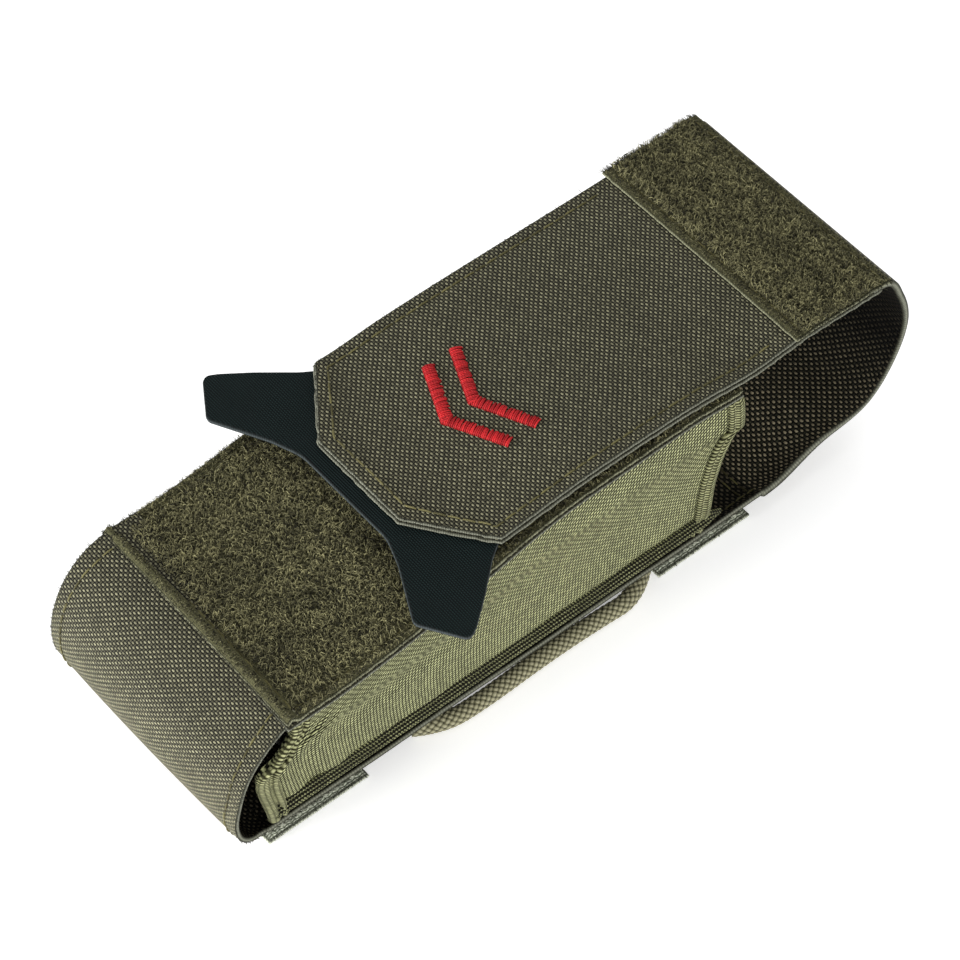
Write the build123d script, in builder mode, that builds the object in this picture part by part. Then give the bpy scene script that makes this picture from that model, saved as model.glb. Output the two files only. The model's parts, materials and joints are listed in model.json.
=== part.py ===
from build123d import *
import os
from math import hypot, pi, radians, tan

# A belt pouch for a folded tourniquet, lying on its back webbing.  Millimetres.
# X runs across the pouch, +Y from its bottom fold to its top fold, +Z from back to front.
# The origin is on the surface that the back webbing lies on, at the middle of the pouch.

# ---- driving dimensions -------------------------------------------------------------
CLOTH_WIDTH = 58.0          # woven nylon strip that makes back, front and flap
CLOTH = 1.0                 # its thickness
PATCH_WIDTH = 59.0          # loop patches stand a little proud of the strip
LOOP = 2.3                  # loop patch with its pile
HOOK = 1.4
ELASTIC = 1.3

WEBBING = 25.0              # width of the back webbing
WEBBING_THICK = 1.5
WEBBING_LENGTH = 56.0
LOWER_WEBBING_Y = -66.8     # middle lines
UPPER_WEBBING_Y = 35.5

PANEL_BOTTOM = 3.8          # underside of the back panel's flat middle
PANEL_FLAT = 44.0           # width of that flat middle
PANEL_CURL = 11.0           # radius of its turned-up edges
CURL_ANGLE = 38.0
PANEL_LOW_Y, PANEL_HIGH_Y = -80.0, 51.5
# Strap from the front cloth round the bottom to the back panel: corners (Y, Z) and their radii.
STRAP_TOP_Y = -79.0
STRAP_SIDE = [(-86.5, 29.0), (-88.4, 14.0)]
STRAP_FOOT_Y = -86.0
STRAP_RADII = [8.0, 14.0, 9.0, 5.0]
HEM_WIDTH = 5.5
HEM_OUTER_X = 23.3

# Face of the front loop patch, from the bottom fold to the mouth (Y, Z).
FRONT_FACE = [(-74.0, 41.0), (-50.0, 42.4), (-20.0, 46.4), (42.0, 48.0)]
FRONT_CLOTH_DEPTH = LOOP
ELASTIC_DEPTH = LOOP + CLOTH

WALL_OUTER_X = 29.2         # outer face of the elastic sides
WALL_FOOT = 7.6
MOUTH_EDGE = [(33.5, 7.6), (33.0, 22.0), (36.5, 33.0), (41.0, 44.6)]
BOTTOM_EDGE = [(-74.5, 36.6), (-80.5, 29.0), (-78.5, 7.6)]
HEM_BAND = 4.0
HEM_BAND_THICK = 0.8
MOUTH_HEM_FOOT_Y = 33.2
MOUTH_HEM_TOP = (40.0, 42.0)
BOTTOM_HEM_FOOT_Y = -79.3
BOTTOM_HEM_TOP = (-76.6, 34.0)
RIB_RADIUS = 1.0
RIB_RISES = (3.0, 5.2)      # of the two ribs' middles above the wall's foot
RIB_TO_HEM = 1.2            # from the upper rib's middle to the hems' feet
RIB_HIGH_Y = 37.0

CORD = 4.0                  # braided cord
CORD_Z = 2.1
CORD_ROUTE = [
    (25.1, -41.0, CORD_Z),
    (28.6, -35.6, CORD_Z),
    (29.2, -26.0, CORD_Z),
    (28.6, -8.0, CORD_Z),
    (28.9, 6.0, CORD_Z),
    (29.5, 15.2, CORD_Z),
    (25.0, 20.8, CORD_Z),
]

# Bends of the flap's cloth, middle of its thickness (Y, Z), from the back panel to the front.
FOLDS = [(52.6, 5.2), (80.0, 15.0), (88.4, 34.0), (80.8, 50.9)]
FOLD_GAP = 0.7              # from a bend's axis to the end of the band beside it
FLAP_END_Y = -32.3
FLAP_END_WIDTH = 25.0
FLAP_CORNER_Y = -20.3
FLAP_MID_Z = 50.9
HOOK_LOW_Y, HOOK_HIGH_Y = -18.0, 36.0
HOOK_MARGIN = 3.0           # from the flap's side to the hook patch
TAPE_LOW_Y, TAPE_HIGH_Y = 54.6, 80.4

TAB_THICK = 1.2
TAB_ROOT_Y = -20.0
TAB_BEND_Y = -33.4
TAB_GAP = 0.3               # each side of the tab's bend
TAB_MIDDLE_Y = -36.4
TAB_MIDDLE_HALF = 12.7
TAB_SHOULDER = (19.5, -38.6)
TAB_TIP = (32.6, -45.2)
TAB_HORN = (42.2, -38.4)
TAB_WAIST = (28.0, -20.0)
TAB_CORNER_RADIUS = 1.8

CHEVRON_HALF = 13.5
CHEVRON_DROP = 6.0
CHEVRON_ARM = 2.4
CHEVRON_TIPS = (-11.6, -4.6)
CHEVRON_THICK = 0.5

BAND = 38.0                 # tourniquet band
BAND_BOTTOM = 8.2
LOOP_RADIUS = 8.5
BAND_WALL = 3.2
BAND_GAP = 0.2              # between the outer turns and the inner fold
BAND_LOW_Y, BAND_HIGH_Y = -62.0, 27.5   # centres of the loop's round ends
PLATE_BOTTOM = 25.4
PLATE = 2.4
PLATE_WIDTH, PLATE_LENGTH = 42.0, 84.0
PLATE_Y = -18.0
PLATE_CORNER = 6.0
ROD_RADIUS = 4.4
ROD_Z = 32.9
ROD_LOW_Y, ROD_HIGH_Y = -50.0, 34.0
ROD_END_ROUND = 2.0
ROD_SLOT = (28.0, 2.2)      # length and width of the slot that takes the ribbon
CLIP_Y = -36.0
CLIP_LENGTH = 16.0
CLIP_WIDTH = 17.0
CLIP_HEIGHT = 9.2
CLIP_CLEARANCE = 0.4        # round the rod
CLIP_MOUTH = 7.0
TIME_STRAP = 10.0
STRAP_THICK = 0.7
STRAP_SIDE_GAP, STRAP_TOP_GAP = 0.2, 0.5
BUCKLE_Y = 31.0
BUCKLE_WIDTH, BUCKLE_LENGTH = 46.0, 12.0
BUCKLE_CORNER = 3.0
BUCKLE_SLOT = (39.0, 3.4)
BUCKLE = 2.8
RIBBON = 24.0
RIBBON_THICK = 0.6


def yz_prism(points, x_from, x_to):
    """A closed outline in the YZ plane, carried from one X to another."""
    with BuildPart() as prism:
        with BuildSketch(Plane.YZ.offset(x_from)):
            with BuildLine():
                Polyline(*points, close=True)
            make_face()
        extrude(amount=x_to - x_from)
    return prism


def slab(points, z_from, thickness):
    """A closed outline seen from above, carried upwards."""
    with BuildPart() as plate:
        with BuildSketch(Plane.XY.offset(z_from)):
            with BuildLine():
                Polyline(*points, close=True)
            make_face()
        extrude(amount=thickness)
    return plate


def bar(x_from, x_to, y_from, y_to, z_from, z_to):
    """A plain rectangular piece between its six faces."""
    with BuildPart() as block:
        with BuildSketch(Plane.XY.offset(z_from)):
            with Locations(((x_from + x_to) / 2, (y_from + y_to) / 2)):
                Rectangle(x_to - x_from, y_to - y_from)
        extrude(amount=z_to - z_from)
    return block


def front_layer(depth, thickness, width):
    """One layer of the front, a given depth below the face of its loop patch."""
    upper = [(y, z - depth) for y, z in FRONT_FACE]
    lower = [(y, z - depth - thickness) for y, z in reversed(FRONT_FACE)]
    return yz_prism(upper + lower, -width / 2, width / 2)


def symmetric(half):
    """A right-hand outline, from its lowest point up, joined to its mirror image."""
    return half + [(-x, y) for x, y in reversed(half)]


def save(piece, name):
    """Label a finished piece and write its STEP file."""
    piece.part.label = name
    export_step(piece.part, f"parts/{name}.step")


os.makedirs("parts", exist_ok=True)

# ---- back of the pouch --------------------------------------------------------------
panel_mid_z = PANEL_BOTTOM + CLOTH / 2
with BuildPart() as back_panel:
    with BuildSketch(Plane.XZ.offset(-PANEL_LOW_Y)):
        with BuildLine():
            under = Line((0, PANEL_BOTTOM), (PANEL_FLAT / 2, PANEL_BOTTOM))
            under_curl = JernArc(under @ 1, (1, 0), PANEL_CURL + CLOTH / 2, CURL_ANGLE)
            upper = Line((0, PANEL_BOTTOM + CLOTH), (PANEL_FLAT / 2, PANEL_BOTTOM + CLOTH))
            upper_curl = JernArc(upper @ 1, (1, 0), PANEL_CURL - CLOTH / 2, CURL_ANGLE)
            Line(under_curl @ 1, upper_curl @ 1)
            mirror(about=Plane.YZ)
        make_face()
    extrude(amount=-(PANEL_HIGH_Y - PANEL_LOW_Y))
save(back_panel, "back_panel")

for side, sign in (("left", -1), ("right", 1)):
    inner_x = sign * (HEM_OUTER_X - HEM_WIDTH)
    outer_x = sign * HEM_OUTER_X
    hem = bar(min(inner_x, outer_x), max(inner_x, outer_x), PANEL_LOW_Y, PANEL_HIGH_Y,
              WEBBING_THICK, PANEL_BOTTOM)
    save(hem, f"back_hem_{side}")

for name, middle in (("lower_webbing", LOWER_WEBBING_Y), ("upper_webbing", UPPER_WEBBING_Y)):
    webbing = bar(-WEBBING_LENGTH / 2, WEBBING_LENGTH / 2, middle - WEBBING / 2,
                  middle + WEBBING / 2, 0, WEBBING_THICK)
    save(webbing, name)

# ---- strap round the bottom, and the layers of the front ------------------------------
front_cloth_z = FRONT_FACE[0][1] - FRONT_CLOTH_DEPTH - CLOTH / 2
with BuildPart() as bottom_strap:
    with BuildLine(Plane.YZ) as strap_line:
        FilletPolyline(
            (FRONT_FACE[0][0], front_cloth_z),
            (STRAP_TOP_Y, front_cloth_z),
            *STRAP_SIDE,
            (STRAP_FOOT_Y, panel_mid_z),
            (PANEL_LOW_Y, panel_mid_z),
            radius=STRAP_RADII,
        )
    with BuildSketch(Plane(origin=strap_line.line @ 0, x_dir=(1, 0, 0), z_dir=strap_line.line % 0)):
        Rectangle(CLOTH_WIDTH, CLOTH)
    sweep(path=strap_line.line)
save(bottom_strap, "bottom_strap")

save(front_layer(0, LOOP, PATCH_WIDTH), "front_loop_patch")
save(front_layer(FRONT_CLOTH_DEPTH, CLOTH, CLOTH_WIDTH), "front_strip")
wall_inner_x = WALL_OUTER_X - ELASTIC
save(front_layer(ELASTIC_DEPTH, ELASTIC, 2 * wall_inner_x), "elastic_front")

# ---- elastic sides, their hems and the seam ribs at their feet ------------------------
front_underside = [(y, z - ELASTIC_DEPTH) for y, z in FRONT_FACE[1:-1]]
wall_outline = MOUTH_EDGE + front_underside[::-1] + BOTTOM_EDGE
for side, sign in (("left", -1), ("right", 1)):
    faces = sorted((sign * wall_inner_x, sign * WALL_OUTER_X))
    save(yz_prism(wall_outline, *faces), f"elastic_side_{side}")

rib_heights = [WALL_FOOT + rise for rise in RIB_RISES]
hem_foot = rib_heights[-1] + RIB_TO_HEM
for side, sign in (("left", -1), ("right", 1)):
    rib_x = sign * (WALL_OUTER_X + RIB_RADIUS)
    with BuildPart() as seam_rib:
        with BuildSketch(Plane.XZ.offset(-BOTTOM_EDGE[-1][0])):
            with Locations(*[(rib_x, z) for z in rib_heights]):
                Circle(RIB_RADIUS)
        extrude(amount=-(RIB_HIGH_Y - BOTTOM_EDGE[-1][0]))
    save(seam_rib, f"seam_rib_{side}")


def side_hems(edge, inward):
    """The hem along one end of both elastic sides: a band on the outer face of each."""
    inner = [(y + inward, z) for y, z in reversed(edge)]
    outline = edge + inner
    with BuildPart() as hems:
        with BuildSketch(Plane.YZ.offset(WALL_OUTER_X)):
            with BuildLine():
                Polyline(*outline, close=True)
            make_face()
        extrude(amount=HEM_BAND_THICK)
        mirror(about=Plane.YZ)
    return hems


mouth_hem_edge = [(MOUTH_HEM_FOOT_Y, hem_foot), MOUTH_EDGE[1], MOUTH_EDGE[2], MOUTH_HEM_TOP]
save(side_hems(mouth_hem_edge, -HEM_BAND), "mouth_hem")
bottom_hem_edge = [(BOTTOM_HEM_FOOT_Y, hem_foot), BOTTOM_EDGE[1], BOTTOM_HEM_TOP]
save(side_hems(bottom_hem_edge, HEM_BAND), "bottom_hem")

# ---- cord along the right side, both ends sewn against the side hem --------------------
corners = list(zip(CORD_ROUTE, CORD_ROUTE[1:], CORD_ROUTE[2:]))
cord_radii = []
for before, corner, after in corners:
    run_in = Vector(*corner) - Vector(*before)
    run_out = Vector(*after) - Vector(*corner)
    half_turn = run_in.get_angle(run_out) / 2
    shorter = min(run_in.length, run_out.length)
    cord_radii.append(0.45 * shorter / tan(radians(half_turn)))
with BuildPart() as side_cord:
    with BuildLine() as cord_line:
        FilletPolyline(*CORD_ROUTE, radius=cord_radii)
    with BuildSketch(Plane(origin=cord_line.line @ 0, z_dir=cord_line.line % 0)):
        Circle(CORD / 2)
    sweep(path=cord_line.line)
save(side_cord, "side_cord")
print("cord radii", [round(r, 1) for r in cord_radii])
cord_length = sum(edge.length for edge in cord_line.line.edges())
print("cord length", round(cord_length, 1), "volume", round(side_cord.part.volume, 1),
      "section x length", round(pi * (CORD / 2) ** 2 * cord_length, 1))

# ---- flap: bands between the bends, then the flat part over the front ------------------
for number, (start, end) in enumerate(zip(FOLDS, FOLDS[1:]), start=1):
    length = hypot(end[0] - start[0], end[1] - start[1])
    along = Vector(0, (end[0] - start[0]) / length, (end[1] - start[1]) / length)
    origin = Vector(0, *start) + along * FOLD_GAP
    with BuildPart() as band:
        with BuildSketch(Plane(origin=origin, x_dir=(1, 0, 0), z_dir=along)):
            Rectangle(CLOTH_WIDTH, 2 * CLOTH)
        extrude(amount=length - 2 * FOLD_GAP)
    save(band, f"flap_fold_{number}")

flap_high_y = FOLDS[-1][0] - FOLD_GAP
half_width = CLOTH_WIDTH / 2
flap_outline = symmetric([
    (FLAP_END_WIDTH / 2, FLAP_END_Y),
    (half_width, FLAP_CORNER_Y),
    (half_width, flap_high_y),
])
save(slab(flap_outline, FLAP_MID_Z, CLOTH), "flap_outer")
save(slab(flap_outline, FLAP_MID_Z - CLOTH, CLOTH), "flap_lining")
hook_half = half_width - HOOK_MARGIN
save(bar(-hook_half, hook_half, HOOK_LOW_Y, HOOK_HIGH_Y, FLAP_MID_Z - CLOTH - HOOK,
         FLAP_MID_Z - CLOTH), "flap_hook_patch")
tape_half = PATCH_WIDTH / 2
save(bar(-tape_half, tape_half, TAPE_LOW_Y, TAPE_HIGH_Y, FLAP_MID_Z + CLOTH,
         FLAP_MID_Z + CLOTH + LOOP), "flap_loop_patch")

# Two sewn chevrons that point to the pull tab.
with BuildPart() as chevrons:
    with BuildSketch(Plane.XY.offset(FLAP_MID_Z + CLOTH)):
        for tip_y in CHEVRON_TIPS:
            with BuildLine():
                Polyline(
                    (0, tip_y),
                    (CHEVRON_HALF, tip_y + CHEVRON_DROP),
                    (CHEVRON_HALF, tip_y + CHEVRON_DROP + CHEVRON_ARM),
                    (0, tip_y + CHEVRON_ARM),
                    (-CHEVRON_HALF, tip_y + CHEVRON_DROP + CHEVRON_ARM),
                    (-CHEVRON_HALF, tip_y + CHEVRON_DROP),
                    close=True,
                )
            make_face()
    extrude(amount=CHEVRON_THICK)
save(chevrons, "sewn_chevrons")

# ---- pull tab: a sewn root under the flap's end, and a free lip with two horns -----------
tab_bottom = FLAP_MID_Z - CLOTH - TAB_THICK
bend_edge_x = TAB_WAIST[0] + (TAB_HORN[0] - TAB_WAIST[0]) * (
    (TAB_BEND_Y - TAB_WAIST[1]) / (TAB_HORN[1] - TAB_WAIST[1]))
root_outline = symmetric([(bend_edge_x, TAB_BEND_Y + TAB_GAP), (TAB_WAIST[0], TAB_ROOT_Y)])
save(slab(root_outline, tab_bottom, TAB_THICK), "tab_root")

with BuildPart() as pull_tab:
    with BuildSketch(Plane.XY.offset(tab_bottom)):
        with BuildLine():
            Polyline(*symmetric([
                (TAB_MIDDLE_HALF, TAB_MIDDLE_Y),
                TAB_SHOULDER,
                TAB_TIP,
                TAB_HORN,
                (bend_edge_x, TAB_BEND_Y - TAB_GAP),
            ]), close=True)
        make_face()
        horn_corners = [v for v in vertices() if abs(v.X) > TAB_TIP[0] - 0.1 and v.Y < TAB_BEND_Y - 1]
        fillet(horn_corners, radius=TAB_CORNER_RADIUS)
    extrude(amount=TAB_THICK)
save(pull_tab, "pull_tab")

# ---- the folded tourniquet inside ---------------------------------------------------------
loop_mid_z = BAND_BOTTOM + LOOP_RADIUS
loop_mid_y = (BAND_LOW_Y + BAND_HIGH_Y) / 2
loop_length = BAND_HIGH_Y - BAND_LOW_Y + 2 * LOOP_RADIUS


def band_loop(outer_radius, wall, width):
    """A flattened loop of band, seen from the side as a ring with two round ends."""
    length = BAND_HIGH_Y - BAND_LOW_Y + 2 * outer_radius
    with BuildPart() as loop:
        with BuildSketch(Plane.YZ.offset(-width / 2)):
            with Locations((loop_mid_y, loop_mid_z)):
                SlotOverall(length, 2 * outer_radius)
                SlotOverall(length - 2 * wall, 2 * (outer_radius - wall), mode=Mode.SUBTRACT)
        extrude(amount=width)
    return loop


save(band_loop(LOOP_RADIUS, BAND_WALL, BAND), "tourniquet_band")
inner_radius = LOOP_RADIUS - BAND_WALL - BAND_GAP
with BuildPart() as inner_fold:
    with BuildSketch(Plane.YZ.offset(-BAND / 2)):
        with Locations((loop_mid_y, loop_mid_z)):
            SlotOverall(loop_length - 2 * (BAND_WALL + BAND_GAP), 2 * inner_radius)
    extrude(amount=BAND)
save(inner_fold, "tourniquet_inner_fold")

plate_top = PLATE_BOTTOM + PLATE
with BuildPart() as base_plate:
    with BuildSketch(Plane.XY.offset(PLATE_BOTTOM)):
        with Locations((0, PLATE_Y)):
            RectangleRounded(PLATE_WIDTH, PLATE_LENGTH, PLATE_CORNER)
    extrude(amount=PLATE)
save(base_plate, "tourniquet_base_plate")

rod_middle_y = (ROD_LOW_Y + ROD_HIGH_Y) / 2
with BuildPart() as windlass_rod:
    with BuildSketch(Plane.XZ.offset(-ROD_LOW_Y)):
        with Locations((0, ROD_Z)):
            Circle(ROD_RADIUS)
    extrude(amount=-(ROD_HIGH_Y - ROD_LOW_Y))
    rod_ends = edges().filter_by(GeomType.CIRCLE)
    fillet(rod_ends, radius=ROD_END_ROUND)
    with BuildSketch(Plane.YZ.offset(-ROD_RADIUS)):
        with Locations((rod_middle_y, ROD_Z)):
            SlotOverall(*ROD_SLOT)
    extrude(amount=2 * ROD_RADIUS, mode=Mode.SUBTRACT)
save(windlass_rod, "windlass_rod")

# The clip is a block with a round seat, open at the top, that takes one end of the rod.
with BuildPart() as windlass_clip:
    with BuildSketch(Plane.XZ.offset(-(CLIP_Y - CLIP_LENGTH / 2))):
        with Locations((0, plate_top + CLIP_HEIGHT / 2)):
            Rectangle(CLIP_WIDTH, CLIP_HEIGHT)
        with Locations((0, ROD_Z)):
            Circle(ROD_RADIUS + CLIP_CLEARANCE, mode=Mode.SUBTRACT)
        with Locations((0, ROD_Z + ROD_RADIUS)):
            Rectangle(CLIP_MOUTH, 2 * ROD_RADIUS, mode=Mode.SUBTRACT)
    extrude(amount=-CLIP_LENGTH)
save(windlass_clip, "windlass_clip")

# The time strap is a staple of webbing over the clip, from the plate on one side to the other.
strap_inner_x = CLIP_WIDTH / 2 + STRAP_SIDE_GAP
strap_top = plate_top + CLIP_HEIGHT + STRAP_TOP_GAP
with BuildPart() as time_strap:
    with BuildSketch(Plane.XZ.offset(-(CLIP_Y - TIME_STRAP / 2))):
        with BuildLine():
            Polyline(
                (-strap_inner_x, plate_top),
                (-strap_inner_x, strap_top),
                (strap_inner_x, strap_top),
                (strap_inner_x, plate_top),
                (strap_inner_x + STRAP_THICK, plate_top),
                (strap_inner_x + STRAP_THICK, strap_top + STRAP_THICK),
                (-strap_inner_x - STRAP_THICK, strap_top + STRAP_THICK),
                (-strap_inner_x - STRAP_THICK, plate_top),
                close=True,
            )
        make_face()
    extrude(amount=-TIME_STRAP)
save(time_strap, "time_strap")

with BuildPart() as buckle:
    with BuildSketch(Plane.XY.offset(PLATE_BOTTOM)):
        with Locations((0, BUCKLE_Y)):
            RectangleRounded(BUCKLE_WIDTH, BUCKLE_LENGTH, BUCKLE_CORNER)
            Rectangle(*BUCKLE_SLOT, mode=Mode.SUBTRACT)
    extrude(amount=BUCKLE)
save(buckle, "tourniquet_buckle")

save(bar(-RIBBON / 2, RIBBON / 2, rod_middle_y - RIBBON / 2, rod_middle_y + RIBBON / 2,
         plate_top, plate_top + RIBBON_THICK), "windlass_ribbon")
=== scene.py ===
import json
from math import cos, pi, radians, sin

import bpy
import numpy as np
from mathutils import Matrix, Vector


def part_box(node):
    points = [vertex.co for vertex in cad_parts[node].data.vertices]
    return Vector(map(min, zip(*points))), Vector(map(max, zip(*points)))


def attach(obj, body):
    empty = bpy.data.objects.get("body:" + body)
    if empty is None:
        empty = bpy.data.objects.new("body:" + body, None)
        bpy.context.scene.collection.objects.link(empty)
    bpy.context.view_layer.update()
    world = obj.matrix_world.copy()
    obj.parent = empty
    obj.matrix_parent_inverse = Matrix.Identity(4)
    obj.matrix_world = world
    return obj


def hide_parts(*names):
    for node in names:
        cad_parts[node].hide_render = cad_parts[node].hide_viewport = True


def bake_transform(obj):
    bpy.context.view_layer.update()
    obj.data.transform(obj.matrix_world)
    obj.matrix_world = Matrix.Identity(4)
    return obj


# A belt pouch for a folded tourniquet.  Shapes are worked out in millimetres in the frame's
# axes (X across, +Y to the top fold, +Z from back to front) and become metres in Shape.finish.
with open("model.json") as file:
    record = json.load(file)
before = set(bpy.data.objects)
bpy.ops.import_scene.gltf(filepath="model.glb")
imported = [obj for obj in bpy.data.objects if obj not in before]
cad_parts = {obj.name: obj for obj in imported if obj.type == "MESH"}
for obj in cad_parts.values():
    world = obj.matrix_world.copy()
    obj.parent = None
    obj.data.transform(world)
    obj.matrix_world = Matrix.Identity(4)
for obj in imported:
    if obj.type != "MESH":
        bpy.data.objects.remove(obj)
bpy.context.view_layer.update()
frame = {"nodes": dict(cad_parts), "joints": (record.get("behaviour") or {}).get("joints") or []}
MM = 0.001

# Every cloth mesh carries the flat coordinates of its cloth, in millimetres, and a shade from
# 0 to 1 that differs from fibre to fibre.  The weaves are drawn from these.
CLOTH = "cloth"
FACE, REVERSE, EDGE, THREAD, EXTRA = range(5)


def box(node):
    """Lowest and highest corner of a CAD node, in millimetres."""
    low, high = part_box(node)
    return low / MM, high / MM


def hinge(name):
    """A hinge's (Y, Z), in millimetres."""
    joint = next(j for j in frame["joints"] if j["name"] == name)
    return np.array(joint["pos_m"][1:]) / MM


# ---- places and sizes ----------------------------------------------------------------------
PATCH_LOW, PATCH_HIGH = box("front_loop_patch")
FLAP_LOW, FLAP_HIGH = box("flap_outer")
TAPE_LOW, TAPE_HIGH = box("flap_loop_patch")
PANEL_LOW, PANEL_HIGH = box("back_panel")
WALL_LOW, WALL_HIGH = box("elastic_side_right")
HALF_CLOTH = FLAP_HIGH.x
HALF_PATCH = PATCH_HIGH.x
PANEL_FLAT = 22.0           # half the width of the back panel's flat middle
CURL_RADIUS = 11.0          # of its turned-up edges
CLOTH_THICK = 1.0
STITCH = 3.0                # from one stitch to the next
SEAM_INSET = 2.6            # from a cloth edge to its stitch line

CAMERA_AZIMUTH, CAMERA_ELEVATION, CAMERA_ROLL = 50.955, 52.074, -0.739
CAMERA_DISTANCE = 0.82851
CAMERA_LENS = 152.61
CAMERA_TARGET = (0.0, -0.00189, 0.02639)


# ---- lines and meshes ----------------------------------------------------------------------
def evenly(line, count):
    """A line again, as count points the same distance apart."""
    line = np.asarray(line, float)
    steps = np.linalg.norm(np.diff(line, axis=0), axis=1)
    along = np.concatenate([[0], np.cumsum(steps)])
    at = np.linspace(0, along[-1], count)
    return np.stack([np.interp(at, along, line[:, k]) for k in range(line.shape[1])], axis=1)


def smooth_line(points, count):
    """Evenly spaced points on a smooth curve through the given ones."""
    points = np.array(points, float)
    steps = np.linalg.norm(np.diff(points, axis=0), axis=1)
    knots = np.concatenate([[0], np.cumsum(steps)])
    slopes = np.gradient(points, knots, axis=0)
    at = np.linspace(0, knots[-1], 40 * len(points))
    i = np.clip(np.searchsorted(knots, at, side="right") - 1, 0, len(points) - 2)
    span = (knots[i + 1] - knots[i])[:, None]
    t = (at - knots[i])[:, None] / span
    fine = (2 * t**3 - 3 * t**2 + 1) * points[i] + (t**3 - 2 * t**2 + t) * span * slopes[i]
    fine += (3 * t**2 - 2 * t**3) * points[i + 1] + (t**3 - t**2) * span * slopes[i + 1]
    return evenly(fine, count)


def length_of(line):
    """The length of a line of points."""
    return float(np.linalg.norm(np.diff(line, axis=0), axis=1).sum())


def unit(vectors):
    """Vectors made one long."""
    return vectors / np.maximum(np.linalg.norm(vectors, axis=-1, keepdims=True), 1e-9)


def ramp(x, start, end):
    """0 before start, 1 after end, and smooth between them."""
    t = np.clip((x - start) / (end - start), 0, 1)
    return t * t * (3 - 2 * t)


def groove_depth(distance, width=0.8):
    """1 in the middle of a groove and nothing well to the side of it."""
    return np.exp(-((distance / width) ** 2))


def selvage(low, high, count, edge=0.2):
    """Evenly spaced values with a narrow first and last step, which take the raw edge."""
    return np.concatenate([[low], np.linspace(low + edge, high - edge, count), [high]])


def both_sides(half, sign=1):
    """A row of values for x from 0 up, with the same ones, times sign, before it for x below 0."""
    return np.concatenate([sign * half[:0:-1], half])


def flat_grid(u, v):
    """Two grids of flat places, from one row of values each."""
    return np.meshgrid(u, v, indexing="ij")


def spots(x, y, z):
    """Points (..., 3) from coordinates that are grids, rows or single numbers."""
    return np.stack(np.broadcast_arrays(x, y, z), axis=-1)


def follow(line):
    """The length of a line of evenly spaced 2-D points, and a function that gives the place at
    any distance along it."""
    total = length_of(line)
    along = np.linspace(0, total, len(line))
    return total, lambda s: (np.interp(s, along, line[:, 0]), np.interp(s, along, line[:, 1]))


class Shape:
    def __init__(self):
        self.points, self.cloth, self.faces, self.kinds = [], [], [], []
        self.count = 0

    def add(self, points, faces, cloth, kinds):
        """Points (n, 3), faces (m, 3 or 4), cloth coordinates (n, 3) and each face's kind."""
        self.points.append(np.asarray(points, float).reshape(-1, 3))
        self.cloth.append(np.asarray(cloth, float).reshape(-1, 3))
        self.faces.append(np.asarray(faces, int) + self.count)
        self.kinds.append(np.broadcast_to(kinds, len(faces)))
        self.count += len(self.points[-1])

    def finish(self, name, slot, materials):
        """Make the mesh object, with one material for each kind of face."""
        mesh = bpy.data.meshes.new(name)
        sizes = np.concatenate([np.full(len(f), f.shape[1]) for f in self.faces])
        corners = np.concatenate([f.ravel() for f in self.faces])
        mesh.vertices.add(self.count)
        mesh.vertices.foreach_set("co", (np.concatenate(self.points) * MM).ravel())
        mesh.loops.add(len(corners))
        mesh.loops.foreach_set("vertex_index", corners)
        mesh.polygons.add(len(sizes))
        mesh.polygons.foreach_set("loop_start", np.cumsum(sizes) - sizes)
        mesh.polygons.foreach_set("material_index", np.concatenate(self.kinds).astype(int))
        mesh.polygons.foreach_set("use_smooth", np.ones(len(sizes), bool))
        mesh.update(calc_edges=True)
        mesh.validate()
        layer = mesh.attributes.new(CLOTH, "FLOAT_VECTOR", "POINT")
        layer.data.foreach_set("vector", np.concatenate(self.cloth).ravel())
        for material in materials:
            mesh.materials.append(material)
        piece = bpy.data.objects.new(name, mesh)
        bpy.context.scene.collection.objects.link(piece)
        return piece


def normals_of(grid):
    """Unit normals of a grid of points (n, m, 3)."""
    return unit(np.cross(np.gradient(grid, axis=0), np.gradient(grid, axis=1)))


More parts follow.
